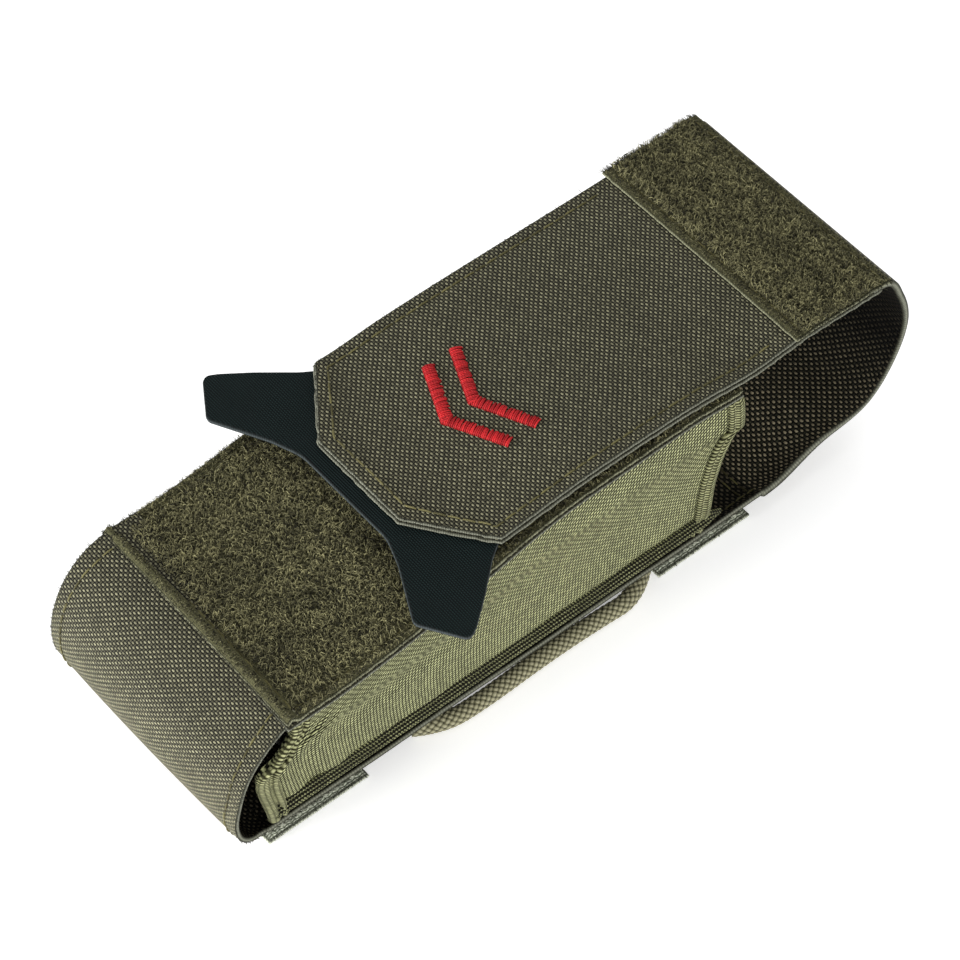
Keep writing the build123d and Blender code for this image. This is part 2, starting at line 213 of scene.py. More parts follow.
def add_cloth(shape, place, u, v, thickness, kinds=(FACE, REVERSE, EDGE), fray=0.12, seed=1):
    """A closed piece of cloth.  u and v are grids of flat places on it, place() puts its face in
    space, and the cloth lies behind that face.  The first and last rows take the raw edge."""
    top = place(u, v)
    bottom = top - normals_of(top) * thickness
    n, m = u.shape
    index = np.arange(n * m).reshape(n, m)
    quads = np.stack([index[:-1, :-1], index[1:, :-1], index[1:, 1:], index[:-1, 1:]], axis=-1)
    on_edge = np.zeros((n - 1, m - 1), bool)
    on_edge[[0, -1], :] = True
    on_edge[:, [0, -1]] = True
    cloth = np.stack([u, v, np.zeros_like(u)], axis=-1).reshape(-1, 3)
    loop = np.concatenate([index[:-1, 0], index[-1, :-1], index[:0:-1, -1], index[0, :0:-1]])
    middle = (top.reshape(-1, 3)[loop] + bottom.reshape(-1, 3)[loop]) / 2
    inside = (top[1:-1, 1:-1].reshape(-1, 3)).mean(axis=0)
    forward = np.roll(middle, -1, axis=0) - np.roll(middle, 1, axis=0)
    across = top.reshape(-1, 3)[loop] - bottom.reshape(-1, 3)[loop]
    outward = unit(np.cross(forward, across))
    outward *= np.sign(((middle - inside) * outward).sum(axis=1).mean())
    dice = np.random.default_rng(seed)
    middle = middle + outward * (0.3 * thickness * 0.5 + fray * dice.random((len(loop), 1)))
    points = np.concatenate([top.reshape(-1, 3), bottom.reshape(-1, 3), middle])
    both = n * m
    rim = 2 * both + np.arange(len(loop))
    ahead, rim_ahead = np.roll(loop, -1), np.roll(rim, -1)
    upper = np.stack([loop, rim, rim_ahead, ahead], axis=1)
    lower = np.stack([rim, loop + both, ahead + both, rim_ahead], axis=1)
    face_kinds = np.where(on_edge, kinds[2], kinds[0]).ravel()
    back_kinds = np.where(on_edge, kinds[2], kinds[1]).ravel()
    faces = [quads.reshape(-1, 4), (quads[..., ::-1] + both).reshape(-1, 4), upper, lower]
    all_kinds = [face_kinds, back_kinds, np.full(len(loop), kinds[2]), np.full(len(loop), kinds[2])]
    rim_cloth = cloth[loop] + np.array([0.0, 0.0, 1.0])     # the rim alone is pale
    shape.add(points, np.concatenate(faces), np.concatenate([cloth, cloth, rim_cloth]),
              np.concatenate(all_kinds))


def add_tubes(shape, paths, radii, sides, kind, shade=None, across=(0.0, 0.0, 1.0)):
    """Closed tubes along paths (n, k, 3).  radii is one for each of the k rings."""
    paths = np.asarray(paths, float)
    n, k, _ = paths.shape
    along = unit(np.gradient(paths, axis=1))
    side = np.cross(along, np.broadcast_to(np.asarray(across, float), along.shape))
    flat = np.linalg.norm(side, axis=-1, keepdims=True) < 0.05
    side = unit(np.where(flat, np.cross(along, np.array([1.0, 0.3, 0.0])), side))
    up = np.cross(side, along)
    turn = 2 * pi * np.arange(sides) / sides
    ring = np.cos(turn)[:, None] * side[:, :, None] + np.sin(turn)[:, None] * up[:, :, None]
    radii = np.broadcast_to(np.asarray(radii, float), (n, k))
    points = paths[:, :, None] + radii[..., None, None] * ring
    index = np.arange(n * k * sides).reshape(n, k, sides)
    after = np.roll(index, -1, axis=2)
    walls = np.stack([index[:, :-1], index[:, 1:], after[:, 1:], after[:, :-1]], axis=-1)
    cloth = np.zeros((n, k, sides, 3))
    steps = np.linalg.norm(np.diff(paths, axis=1), axis=2)
    cloth[..., 0] = np.concatenate([np.zeros((n, 1)), np.cumsum(steps, axis=1)], axis=1)[..., None]
    cloth[..., 1] = turn / (2 * pi) * 3
    cloth[..., 2] = 0.5 if shade is None else np.asarray(shade).reshape(-1, 1, 1)
    shape.add(points, walls.reshape(-1, 4), cloth, kind)
    shape.count -= n * k * sides
    caps = []
    if sides == 3:
        caps = [index[:, 0], index[:, -1, ::-1]]
    for i in range(1, sides - 2, 2):
        corners = [0, i, i + 1, i + 2]
        caps += [index[:, 0, corners], index[:, -1, corners[::-1]]]
    shape.faces.append(np.concatenate(caps) + shape.count)
    shape.kinds.append(np.full(len(shape.faces[-1]), kind))
    shape.count += n * k * sides


def on_cloth(place, flat):
    """Points and normals at flat places (..., 2) of a cloth."""
    u, v = flat[..., 0], flat[..., 1]
    step = 0.15
    du = place(u + step, v) - place(u - step, v)
    dv = place(u, v + step) - place(u, v - step)
    return place(u, v), unit(np.cross(du, dv))


def add_stitches(shape, place, line, kind=THREAD, pitch=STITCH, radius=0.2, seed=5, lift=0.16):
    """A row of stitches along a flat line on a cloth: each comes up, lies and goes down."""
    line = np.array(line, float)
    total = length_of(line)
    dense = evenly(line, max(3, int(total / 0.1)))
    along = np.linspace(0, total, len(dense))
    count = int(total / pitch)
    centres = (np.arange(count) + 0.5) * total / count
    reach = 0.46 * pitch
    steps = np.array([-1.0, -0.8, -0.4, 0.0, 0.4, 0.8, 1.0])
    at = centres[:, None] + steps * reach
    flat = np.stack([np.interp(at, along, values) for values in dense.T], axis=-1)
    dice = np.random.default_rng(seed)
    flat = flat + dice.normal(0, 0.05, (count, 1, 2))
    points, normals = on_cloth(place, flat)
    height = lift * np.sqrt(np.clip(1 - steps**4, 0, 1)) - 0.18 * np.abs(steps) ** 6
    points = points + normals * height[None, :, None]
    radii = radius * np.array([0.5, 0.85, 1.0, 1.0, 1.0, 0.85, 0.5])
    add_tubes(shape, points, radii, 6, kind, shade=dice.random(count))


def add_pile(name, body, place, low, high, count, height, seed):
    """A field of short bent fibres, as a piece.  height(u, v) is how far they stand off."""
    shape = Shape()
    dice = np.random.default_rng(seed)
    root = dice.uniform(low, high, (count, 2))
    turn = dice.uniform(0, 2 * pi, count)
    # Neighbours lean alike, as brushed pile does.
    drift = 2.2 * np.sin(root[:, 0] / 3.1 + 1.7 * np.sin(root[:, 1] / 4.3))
    turn = np.where(dice.random(count) < 0.35, drift + dice.normal(0, 0.8, count), turn)
    full = height(root[:, 0], root[:, 1])
    tall = full * dice.uniform(0.5, 1.15, count)
    lean = dice.uniform(0.6, 1.7, count) * (full / PILE_HEIGHT).clip(0.25)
    way = np.stack([np.cos(turn), np.sin(turn)], axis=1)
    out = lean[:, None] * np.array([0.0, 0.5, 1.25])
    flat = root[:, None, :] + way[:, None, :] * out[..., None]
    flat = np.clip(flat, np.array(low) - 0.3, np.array(high) + 0.3)
    points, normals = on_cloth(place, flat)
    rise = tall[:, None] * np.array([0.0, 1.0, 0.55]) - np.array([0.1, 0.0, 0.0])
    points = points + normals * rise[..., None]
    shade = np.clip(dice.normal(0.45, 0.3, count), 0, 1)
    add_tubes(shape, points, [0.075, 0.07, 0.035], 3, FACE, shade=shade)
    pile = shape.finish(name, "loop_pile", [PILE])
    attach(pile, body)
    return pile


def add_fringe(shape, place, line, outward, count, reach, seed, radius=0.06):
    """Loose yarn ends that stand out of a raw edge along a flat line."""
    dice = np.random.default_rng(seed)
    dense = evenly(np.array(line, float), 400)
    root = dense[dice.integers(0, len(dense), count)]
    way = np.array(outward, float) + dice.normal(0, 0.5, (count, 2))
    out = dice.uniform(0.2, 1.0, (count, 1)) * reach * way
    flat = np.stack([root, root + 0.5 * out, root + out], axis=1)
    points, normals = on_cloth(place, flat)
    droop = dice.normal(0, 0.3, (count, 1)) * np.array([0.0, 0.4, 1.0])
    points = points + normals * droop[..., None] * reach
    add_tubes(shape, points, [radius, radius, 0.4 * radius], 3, EDGE, shade=dice.random(count))


def fringe_sides(shape, place, half, low, high, count, reach, seed):
    """Loose yarn ends along both side edges of a cloth, from low to high along V."""
    for side in (-1, 1):
        line = [(side * half, low), (side * half, high)]
        add_fringe(shape, place, line, (side, 0), count, reach, seed)


# ---- materials -----------------------------------------------------------------------------
class Value:
    """A number in a material's node tree, so that a formula reads as one."""

    def __init__(self, tree, socket):
        self.tree, self.socket = tree, socket

    def op(self, kind, *others):
        node = self.tree.nodes.new("ShaderNodeMath")
        node.operation = kind
        for slot, value in zip(node.inputs, (self, *others)):
            if isinstance(value, Value):
                self.tree.links.new(value.socket, slot)
            else:
                slot.default_value = value
        return Value(self.tree, node.outputs[0])

    def __add__(self, other):
        return self.op("ADD", other)

    def __sub__(self, other):
        return self.op("SUBTRACT", other)

    def __mul__(self, other):
        return self.op("MULTIPLY", other)

    def floor(self):
        return self.op("FLOOR")

    def fraction(self):
        return self.op("FRACT")

    def sine(self):
        return self.op("SINE")

    def power(self, exponent):
        return self.op("MAXIMUM", 0.0).op("POWER", exponent)

    def most(self, other):
        return self.op("MAXIMUM", other)

    def span(self, low, high):
        """0 at low and 1 at high, and no further."""
        node = self.tree.nodes.new("ShaderNodeMapRange")
        self.tree.links.new(self.socket, node.inputs["Value"])
        node.inputs["From Min"].default_value = low
        node.inputs["From Max"].default_value = high
        return Value(self.tree, node.outputs[0])


class Finish:
    """A material's node tree around one Principled shader."""

    def __init__(self, name, **constants):
        self.material = bpy.data.materials.new(name)
        self.material.use_nodes = True
        self.tree = self.material.node_tree
        self.shader = self.tree.nodes["Principled BSDF"]
        for socket, value in constants.items():
            self.shader.inputs[socket.replace("_", " ")].default_value = value
        node = self.tree.nodes.new("ShaderNodeAttribute")
        node.attribute_name = CLOTH
        parts = self.tree.nodes.new("ShaderNodeSeparateXYZ")
        self.tree.links.new(node.outputs["Vector"], parts.inputs[0])
        self.flat = node.outputs["Vector"]
        self.u, self.v, self.shade = (Value(self.tree, s) for s in parts.outputs)
        self.place = self.tree.nodes.new("ShaderNodeTexCoord").outputs["Object"]

    def noise(self, size, detail=2.0, of_place=False):
        """Noise from 0 to 1 with features of about that size, in millimetres, which lies on the
        flat cloth or, of_place, in space."""
        node = self.tree.nodes.new("ShaderNodeTexNoise")
        node.inputs["Scale"].default_value = 1 / (size * MM) if of_place else 1 / size
        node.inputs["Detail"].default_value = detail
        self.tree.links.new(self.place if of_place else self.flat, node.inputs["Vector"])
        return Value(self.tree, node.outputs["Fac"])

    def chance(self, x, y):
        """A number from 0 to 1 that is the same all over each whole-numbered cell."""
        joined = self.tree.nodes.new("ShaderNodeCombineXYZ")
        self.tree.links.new(x.floor().socket, joined.inputs[0])
        self.tree.links.new(y.floor().socket, joined.inputs[1])
        node = self.tree.nodes.new("ShaderNodeTexWhiteNoise")
        node.noise_dimensions = "2D"
        self.tree.links.new(joined.outputs[0], node.inputs["Vector"])
        return Value(self.tree, node.outputs["Value"])

    def blend(self, amount, first, second, kind="MIX"):
        """A colour between two, each a colour socket or three numbers."""
        node = self.tree.nodes.new("ShaderNodeMix")
        node.data_type = "RGBA"
        node.blend_type = kind
        if isinstance(amount, Value):
            self.tree.links.new(amount.socket, node.inputs["Factor"])
        else:
            node.inputs["Factor"].default_value = amount
        for slot, colour in ((node.inputs["A"], first), (node.inputs["B"], second)):
            if isinstance(colour, tuple):
                slot.default_value = (*colour, 1.0)
            else:
                self.tree.links.new(colour, slot)
        return node.outputs["Result"]

    def tone(self, colour, value, low, high):
        """A colour made darker and lighter: times low where value is 0, times high where 1."""
        return self.blend(1.0, colour, self.blend(value, (low,) * 3, (high,) * 3), "MULTIPLY")

    def done(self, colour, height=None, depth=0.1, roughness=None):
        """Join up the colour, the roughness and a bump that is depth millimetres deep."""
        self.tree.links.new(colour, self.shader.inputs["Base Color"])
        if roughness is not None:
            self.tree.links.new(roughness.socket, self.shader.inputs["Roughness"])
        if height is not None:
            bump = self.tree.nodes.new("ShaderNodeBump")
            bump.inputs["Distance"].default_value = depth * MM
            self.tree.links.new(height.socket, bump.inputs["Height"])
            self.tree.links.new(bump.outputs["Normal"], self.shader.inputs["Normal"])
        return self.material


def plain_weave(u, v, pitch_u, pitch_v):
    """Height of a plain weave: yarns along V and along U pass over each other in turn."""
    across, along = u * (1 / pitch_u), v * (1 / pitch_v)
    warp_round = (across.fraction() * pi).sine().power(0.8)
    weft_round = (along.fraction() * pi).sine().power(0.8)
    warp_lift = ((along + across.floor()) * pi).sine() * 0.5 + 0.5
    weft_lift = ((across + along.floor() + 1.0) * pi).sine() * 0.5 + 0.5
    warp = warp_round * (warp_lift * 0.85 + 0.15)
    weft = weft_round * (weft_lift * 0.85 + 0.15)
    return warp.most(weft), warp, weft


def woven(name, gap, yarn, tip, pitch=(0.72, 0.65), sheen=0.12, fade=None):
    """Coarse plain-woven nylon: round dark-gapped yarns that differ a little from each other.
    fade is where along V a painted light and shade changes its tone, from start to end, and its
    tone before and after."""
    finish = Finish(name, Sheen_Weight=sheen, Sheen_Roughness=0.45,
                    Sheen_Tint=(0.75, 0.75, 0.62, 1.0), Specular_IOR_Level=0.12)
    bend = finish.noise(9.0, 2.0) * 0.5 + finish.noise(1.1, 1.0) * 0.2
    u, v = finish.u + bend, finish.v + bend
    height, warp, weft = plain_weave(u, v, *pitch)
    grain = finish.chance(u * (1 / pitch[0]), v * (1 / pitch[1]))
    colour = finish.blend(warp.span(0.52, 0.8), gap, yarn)
    # Only the yarns that run along U take the lighter tip colour, and those along V keep the yarn
    # colour: a painted highlight on the one yarn family that catches the light.
    colour = finish.blend(weft.span(0.45, 0.75), colour, tip)
    colour = finish.tone(colour, grain, 0.72, 1.28)
    colour = finish.tone(colour, finish.noise(14.0, 3.0), 0.9, 1.1)
    # fade paints light and shade along V: the tones before start and after end stand in for how
    # unevenly the light falls on this cloth.
    if fade is not None:
        start, end, before, after = fade
        colour = finish.tone(colour, finish.v.span(start, end), before, after)
    roughness = finish.noise(2.0) * 0.2 + 0.65
    return finish.done(colour, height, 0.25, roughness)


def raw_edge(name, dark, light):
    """Cut and melted cloth edge: cloth-dark, with a pale uneven rim and yarn ends across it."""
    finish = Finish(name, Specular_IOR_Level=0.15, Roughness=0.85)
    ends = ((finish.u + finish.v) * (2 * pi / 0.65)).sine() * 0.5 + 0.5
    rough = finish.noise(0.8, 4.0)
    pale = finish.shade.power(1.4) * 0.9 + rough * 0.5
    colour = finish.blend(pale.span(0.25, 1.0), dark, light)
    colour = finish.tone(colour, ends, 0.7, 1.15)
    return finish.done(colour, ends * 0.6 + rough, 0.15)


def thread(name, dark, light, twist=0.35, sheen=0.05):
    """Twisted sewing thread: fine slanting plies."""
    finish = Finish(name, Sheen_Weight=sheen, Roughness=0.5, Specular_IOR_Level=0.25)
    ply = ((finish.u * (1 / twist) + finish.v) * (2 * pi)).sine() * 0.5 + 0.5
    colour = finish.blend(finish.shade, dark, light)
    colour = finish.tone(colour, ply, 0.75, 1.2)
    return finish.done(colour, ply, 0.06)


def pile_fibre(name, dark, light):
    """Fine fibre of the loop pile, which differs from fibre to fibre."""
    finish = Finish(name, Sheen_Weight=0.05, Sheen_Roughness=0.4, Roughness=0.6,
                    Specular_IOR_Level=0.2)
    colour = finish.blend(finish.shade.span(0.1, 1.0), dark, light)
    colour = finish.tone(colour, finish.noise(6.0, 2.0, of_place=True).span(0.3, 0.7), 0.75, 1.25)
    # Each fibre is painted dark at its root and lighter at its tip: painted shade down in the pile
    # and painted light on the tips.
    colour = finish.tone(colour, finish.u.span(0.0, 1.0), 0.3, 1.25)
    return finish.done(colour)


def pile_ground(name, dark, light):
    """The knitted ground that the pile stands in."""
    finish = Finish(name, Roughness=0.9, Specular_IOR_Level=0.2)
    height, _, _ = plain_weave(finish.u, finish.v, 0.5, 0.7)
    colour = finish.blend(finish.noise(0.5, 4.0), dark, light)
    colour = finish.tone(colour, height, 0.6, 1.1)
    return finish.done(colour, height, 0.12)


def ribbed_elastic(name, gap, yarn, light, row=0.76, length=0.8, dip=0.55):
    """Woven elastic: short slanting yarns in rows, brick fashion, over rubber cores.
    dip is how far the surface falls between one yarn and the next along V."""
    finish = Finish(name, Sheen_Weight=0.06, Sheen_Roughness=0.5, Roughness=0.75,
                    Sheen_Tint=(0.8, 0.8, 0.6, 1.0), Specular_IOR_Level=0.12)
    wander = finish.noise(14.0, 1.0) * 0.35 + finish.noise(1.4, 1.0) * 0.14
    lane = finish.v * (1 / length) + wander
    slant = lane.fraction() * 0.45
    step = (lane.floor() * 0.5).fraction()
    bar = finish.u * (1 / row) + slant + step + wander
    ridge = (bar.fraction() * pi).sine()
    bead = (lane.fraction() * pi).sine().power(0.5)
    height = ridge * (bead * dip + (1 - dip))
    colour = finish.blend(height.span(0.42, 0.72), gap, yarn)
    colour = finish.blend(height.span(0.62, 0.95), colour, light)
    colour = finish.tone(colour, finish.chance(lane, bar), 0.74, 1.26)
    colour = finish.tone(colour, finish.noise(8.0, 3.0), 0.84, 1.16)
    return finish.done(colour, height, 0.25)


def narrow_webbing(name, gap, yarn, tip, row=0.95, rib=0.62, sheen=0.3):
    """Flat narrow webbing: rows across it of short slanted yarns."""
    finish = Finish(name, Sheen_Weight=sheen, Sheen_Roughness=0.4, Specular_IOR_Level=0.4,
                    Roughness=0.6)
    across = finish.u * (1 / rib)
    zig = (((finish.v * (1 / (2 * row))).fraction() - 0.5).op("ABSOLUTE")) * 0.9
    lane = across + zig
    height = (lane.fraction() * pi).sine().power(0.7)
    rows = ((finish.v * (1 / row)).fraction() * pi).sine().power(0.5)
    height = height * (rows * 0.6 + 0.4)
    colour = finish.blend(height.span(0.15, 0.6), gap, yarn)
    colour = finish.blend(height.span(0.65, 0.95), colour, tip)
    colour = finish.tone(colour, finish.chance(lane, finish.v * (1 / row)), 0.7, 1.3)
    return finish.done(colour, height, 0.18)


def braid(name, gap, yarn, tip):
    """Braided cord cover: the cells come from the mesh, the filaments from here."""
    finish = Finish(name, Sheen_Weight=0.1, Roughness=0.6, Specular_IOR_Level=0.2)
    filaments = (finish.u * (2 * pi * 6)).sine() * 0.5 + 0.5
    colour = finish.blend(finish.shade.span(0.28, 0.55), gap, yarn)
    colour = finish.blend(finish.shade.span(0.6, 0.9), colour, tip)
    colour = finish.tone(colour, filaments, 0.85, 1.1)
    colour = finish.tone(colour, finish.noise(5.0, 3.0, of_place=True), 0.85, 1.15)
    return finish.done(colour, finish.shade + filaments * 0.15, 0.12)


def laminate(name, dark, light):
    """Stiff coated sheet: a matt face with a fine woven grain."""
    finish = Finish(name, Specular_IOR_Level=0.1)
    u, v = finish.u * (1 / 0.6), finish.v * (1 / 0.52)
    ribs = (v.fraction() * pi).sine().power(2.0)
    dots = ribs * ((u + (v.floor() * 0.5).fraction()).fraction() * pi).sine().power(2.0)
    colour = finish.blend(ribs * 0.35 + dots * 0.65, dark, light)
    colour = finish.tone(colour, finish.noise(7.0, 3.0), 0.8, 1.2)
    roughness = finish.noise(1.5, 3.0) * 0.25 + 0.5
    return finish.done(colour, ribs + dots * 0.6, 0.08, roughness)


def moulded(name, dark, light, grain=0.35, gloss=0.45):
    """Moulded plastic with a fine spark-eroded grain."""
    finish = Finish(name, Specular_IOR_Level=0.45)
    grit = finish.noise(grain, 3.0, of_place=True)
    wear = finish.noise(12.0, 4.0, of_place=True)
    colour = finish.blend(wear.span(0.3, 0.75), dark, light)
    roughness = grit * 0.3 + gloss
    return finish.done(colour, grit, 0.04, roughness)


# The colours of a weave run from its gaps over its yarns to its highest yarns. In the woven nylon,
# that lightest colour falls only on the yarns that run along U: a painted highlight on the yarn
# family that catches the light.
NYLON = woven("nylon_face", (0.0015, 0.0015, 0.0010), (0.060, 0.057, 0.035),
              (0.235, 0.226, 0.142))
# The strap is painted 1.7 times lighter near its back end, round the bottom, where more light falls
# on it: painted light.
STRAP_NYLON_PAINTED_LIGHT = woven("strap_face_painted_light", (0.0015, 0.0015, 0.0010), (0.060, 0.057, 0.035),
                    (0.205, 0.197, 0.124), fade=(12.0, 34.0, 1.7, 0.95))
LINING = woven("nylon_reverse", (0.002, 0.002, 0.0015), (0.012, 0.012, 0.007),
               (0.100, 0.086, 0.056), pitch=(0.86, 0.79), sheen=0.0)
# The lining inside the top fold is a lighter copy of the lining. It is painted 2.5 times lighter
# near the panel and darkened to a fifth deeper in the fold: painted light and painted shade.
FOLD_LINING_PAINTED_LIGHT_AND_SHADE = woven("fold_reverse_painted_light_and_shade", (0.002, 0.002, 0.0015), (0.012, 0.012, 0.007),
                    (0.125, 0.108, 0.070), pitch=(0.86, 0.79), sheen=0.0,
                    fade=(14.0, 46.0, 2.5, 0.2))
CUT_EDGE = raw_edge("cut_edge", (0.028, 0.028, 0.018), (0.21, 0.215, 0.165))
WEBBING_EDGE = raw_edge("webbing_edge", (0.12, 0.13, 0.095), (0.60, 0.62, 0.50))
OLIVE_THREAD = thread("olive_thread", (0.055, 0.049, 0.014), (0.155, 0.140, 0.052))
RED_THREAD = thread("red_thread", (0.30, 0.005, 0.008), (0.62, 0.020, 0.024), twist=0.5, sheen=0.0)
PILE = pile_fibre("pile_fibre", (0.012, 0.0115, 0.004), (0.31, 0.290, 0.145))
PILE_GROUND = pile_ground("pile_ground", (0.02, 0.02, 0.009), (0.19, 0.185, 0.090))
TAPE_EDGE = raw_edge("tape_edge", (0.04, 0.04, 0.02), (0.28, 0.28, 0.18))
ELASTIC = ribbed_elastic("elastic_weave", (0.004, 0.004, 0.0015), (0.20, 0.208, 0.092),
                         (0.52, 0.535, 0.280), dip=0.75)
HEM_ELASTIC = ribbed_elastic("hem_elastic", (0.03, 0.03, 0.012), (0.19, 0.195, 0.088),
                             (0.38, 0.385, 0.205), row=0.62, length=0.8)
RIDGE_PITCH = 0.72          # from thread to thread along a ridge
# Its yarns run round each ridge, and with dip 0.9 they go near black on the ridges' upper and lower
# sides: painted shade between the ridges.
RIDGE_ELASTIC_PAINTED_SHADE = ribbed_elastic("ridge_elastic_painted_shade", (0.004, 0.004, 0.0015), (0.15, 0.155, 0.07),
                               (0.40, 0.405, 0.21), row=RIDGE_PITCH, length=1.5, dip=0.9)
DARK_ELASTIC = ribbed_elastic("elastic_back", (0.01, 0.01, 0.006), (0.06, 0.06, 0.03),
                              (0.12, 0.12, 0.06))
WEBBING = narrow_webbing("olive_webbing", (0.07, 0.08, 0.055), (0.38, 0.42, 0.31),
                         (0.85, 0.88, 0.74), sheen=0.1)
CORD_COVER = braid("cord_cover", (0.008, 0.007, 0.003), (0.150, 0.142, 0.077), (0.38, 0.362, 0.230))
TAB_FACE = laminate("tab_face", (0.0002, 0.0006, 0.0010), (0.012, 0.026, 0.025))
TAB_EDGE = raw_edge("tab_edge", (0.006, 0.009, 0.009), (0.055, 0.066, 0.068))
HOOKS = moulded("hook_nylon", (0.03, 0.03, 0.015), (0.07, 0.07, 0.04))
BLACK_WEBBING = narrow_webbing("band_webbing", (0.003, 0.003, 0.003), (0.014, 0.014, 0.015),
                               (0.04, 0.04, 0.042), row=1.2)
PALE_WEBBING = narrow_webbing("time_strap_webbing", (0.25, 0.25, 0.24), (0.6, 0.6, 0.58),
                              (0.8, 0.8, 0.78), row=0.8)
BLACK_PLASTIC = moulded("black_plastic", (0.006, 0.006, 0.006), (0.014, 0.014, 0.015))
ROD_PLASTIC = moulded("rod_plastic", (0.008, 0.008, 0.008), (0.02, 0.02, 0.021), gloss=0.3)
CLOTH_SET = (NYLON, LINING, CUT_EDGE, OLIVE_THREAD)
FOLD_SET = (NYLON, FOLD_LINING_PAINTED_LIGHT_AND_SHADE, CUT_EDGE, OLIVE_THREAD)
STRAP_SET = (STRAP_NYLON_PAINTED_LIGHT, LINING, CUT_EDGE, OLIVE_THREAD)
PATCH_SET = (PILE_GROUND, PILE_GROUND, TAPE_EDGE, OLIVE_THREAD)
ELASTIC_SET = (ELASTIC, DARK_ELASTIC, ELASTIC, OLIVE_THREAD)
HEM_SET = (HEM_ELASTIC, DARK_ELASTIC, HEM_ELASTIC, OLIVE_THREAD)
WEBBING_SET = (WEBBING, WEBBING, WEBBING_EDGE, OLIVE_THREAD)


# ---- camera --------------------------------------------------------------------------------
def add_camera():
    """The camera, from its azimuth, elevation and roll about the object."""
    a, e, r = radians(CAMERA_AZIMUTH), radians(CAMERA_ELEVATION), radians(CAMERA_ROLL)
    back = Vector((sin(a) * cos(e), -cos(a) * cos(e), sin(e)))
    level = Vector((cos(a), sin(a), 0))
    upright = back.cross(level)
    right = level * cos(r) + upright * sin(r)
    up = upright * cos(r) - level * sin(r)
    place = Matrix((right, up, back)).transposed().to_4x4()
    place.translation = Vector(CAMERA_TARGET) + back * CAMERA_DISTANCE
    data = bpy.data.cameras.new("camera")
    data.lens = CAMERA_LENS
    data.clip_start, data.clip_end = 0.01, 20
    camera = bpy.data.objects.new("camera", data)
    camera.matrix_world = place
    bpy.context.scene.collection.objects.link(camera)
    bpy.context.scene.camera = camera


# ---- side cord -----------------------------------------------------------------------------
CORD_DIAMETER = 0.0040
CORD_Z = 0.0021
CORD_ROUTE = [
    (0.0251, -0.0410, CORD_Z),
    (0.0286, -0.0356, CORD_Z),
    (0.0292, -0.0260, CORD_Z),
    (0.0286, -0.0080, CORD_Z),
    (0.0289, 0.0060, CORD_Z),
    (0.0295, 0.0152, CORD_Z),
    (0.0250, 0.0208, CORD_Z),
]
BRAID_CELLS = 8             # cells round the cord
BRAID_CELL = 1.6            # length of one along it, in millimetres
CORD_RINGS, CORD_SIDES = 620, 84


def spline_points(name, route):
    """Points along a NURBS spline that has the route's points as its control points."""
    curve = bpy.data.curves.new(name, "CURVE")
    curve.dimensions = "3D"
    curve.resolution_u = 40
    spline = curve.splines.new("NURBS")
    spline.points.add(len(route) - 1)
    for point, place in zip(spline.points, route):
        point.co = (*place, 1.0)
    spline.order_u = 3
    spline.use_endpoint_u = True
    carrier = bpy.data.objects.new(name, curve)
    mesh = bpy.data.meshes.new_from_object(carrier)
    points = np.array([v.co for v in mesh.vertices], float)
    bpy.data.meshes.remove(mesh)
    bpy.data.curves.remove(curve)
    return points


def add_cord():
    """The braided cord: a tube whose surface rises over each cell of the braid."""
    line = evenly(spline_points("cord_route", CORD_ROUTE) / MM, CORD_RINGS)
    along = unit(np.gradient(line, axis=0))
    side = unit(np.cross(along, np.array([0.0, 0.0, 1.0])))
    up = np.cross(side, along)
    run = np.linspace(0, length_of(line), len(line))[:, None]
    turn = 2 * pi * np.arange(CORD_SIDES) / CORD_SIDES
    first = turn / (2 * pi) * BRAID_CELLS + run / BRAID_CELL
    second = turn / (2 * pi) * BRAID_CELLS - run / BRAID_CELL
    over = np.sin(pi * (second + np.floor(first))) * 0.5 + 0.5
    under = np.sin(pi * (first + np.floor(second) + 1)) * 0.5 + 0.5
    one = np.sqrt(np.abs(np.sin(pi * first))) * (0.25 + 0.75 * over)
    other = np.sqrt(np.abs(np.sin(pi * second))) * (0.25 + 0.75 * under)
    height = np.maximum(one, other)
    radius = CORD_DIAMETER / MM / 2 * (0.82 + 0.18 * height)
    ring = np.cos(turn)[:, None] * side[:, None] + np.sin(turn)[:, None] * up[:, None]
    points = line[:, None] + radius[..., None] * ring
    index = np.arange(CORD_RINGS * CORD_SIDES).reshape(-1, CORD_SIDES)
    after = np.roll(index, -1, axis=1)
    walls = np.stack([index[:-1], index[1:], after[1:], after[:-1]], axis=-1)
    cloth = spots(np.where(one > other, first, second), run, height)
    shape = Shape()
    shape.add(points, walls.reshape(-1, 4), cloth, FACE)
    ends = [index[0, [0, i, i + 1, i + 2]] for i in range(1, CORD_SIDES - 2, 2)]
    ends += [index[-1, [i + 2, i + 1, i, 0]] for i in range(1, CORD_SIDES - 2, 2)]
    shape.faces.append(np.array(ends))
    shape.kinds.append(np.full(len(ends), FACE))
    cord = shape.finish("cord_braid", "braided_cord", [CORD_COVER])
    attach(cord, "pouch")
    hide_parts("side_cord")


# ---- floor and light -----------------------------------------------------------------------
# Place, size and power.
LIGHTS = {
    "front_light": ((-0.25, -1.0, 0.12), 0.6, 21.0),
    "side_light": ((1.0, -0.35, 0.34), 0.6, 7.0),
    "top_light": ((-0.2, 0.35, 1.2), 0.9, 4.0),
}
WHITE = (1.0, 1.0, 1.0, 1.0)


def add_area_light(name, place, size, power):
    """A soft square light that points at the object."""
    data = bpy.data.lights.new(name, "AREA")
    data.size = size
    data.energy = power
    light = bpy.data.objects.new(name, data)
    light.location = place
    aim = Vector((0, 0, 0.02)) - Vector(place)
    light.rotation_mode = "QUATERNION"
    light.rotation_quaternion = aim.to_track_quat("-Z", "Y")
    bpy.context.scene.collection.objects.link(light)


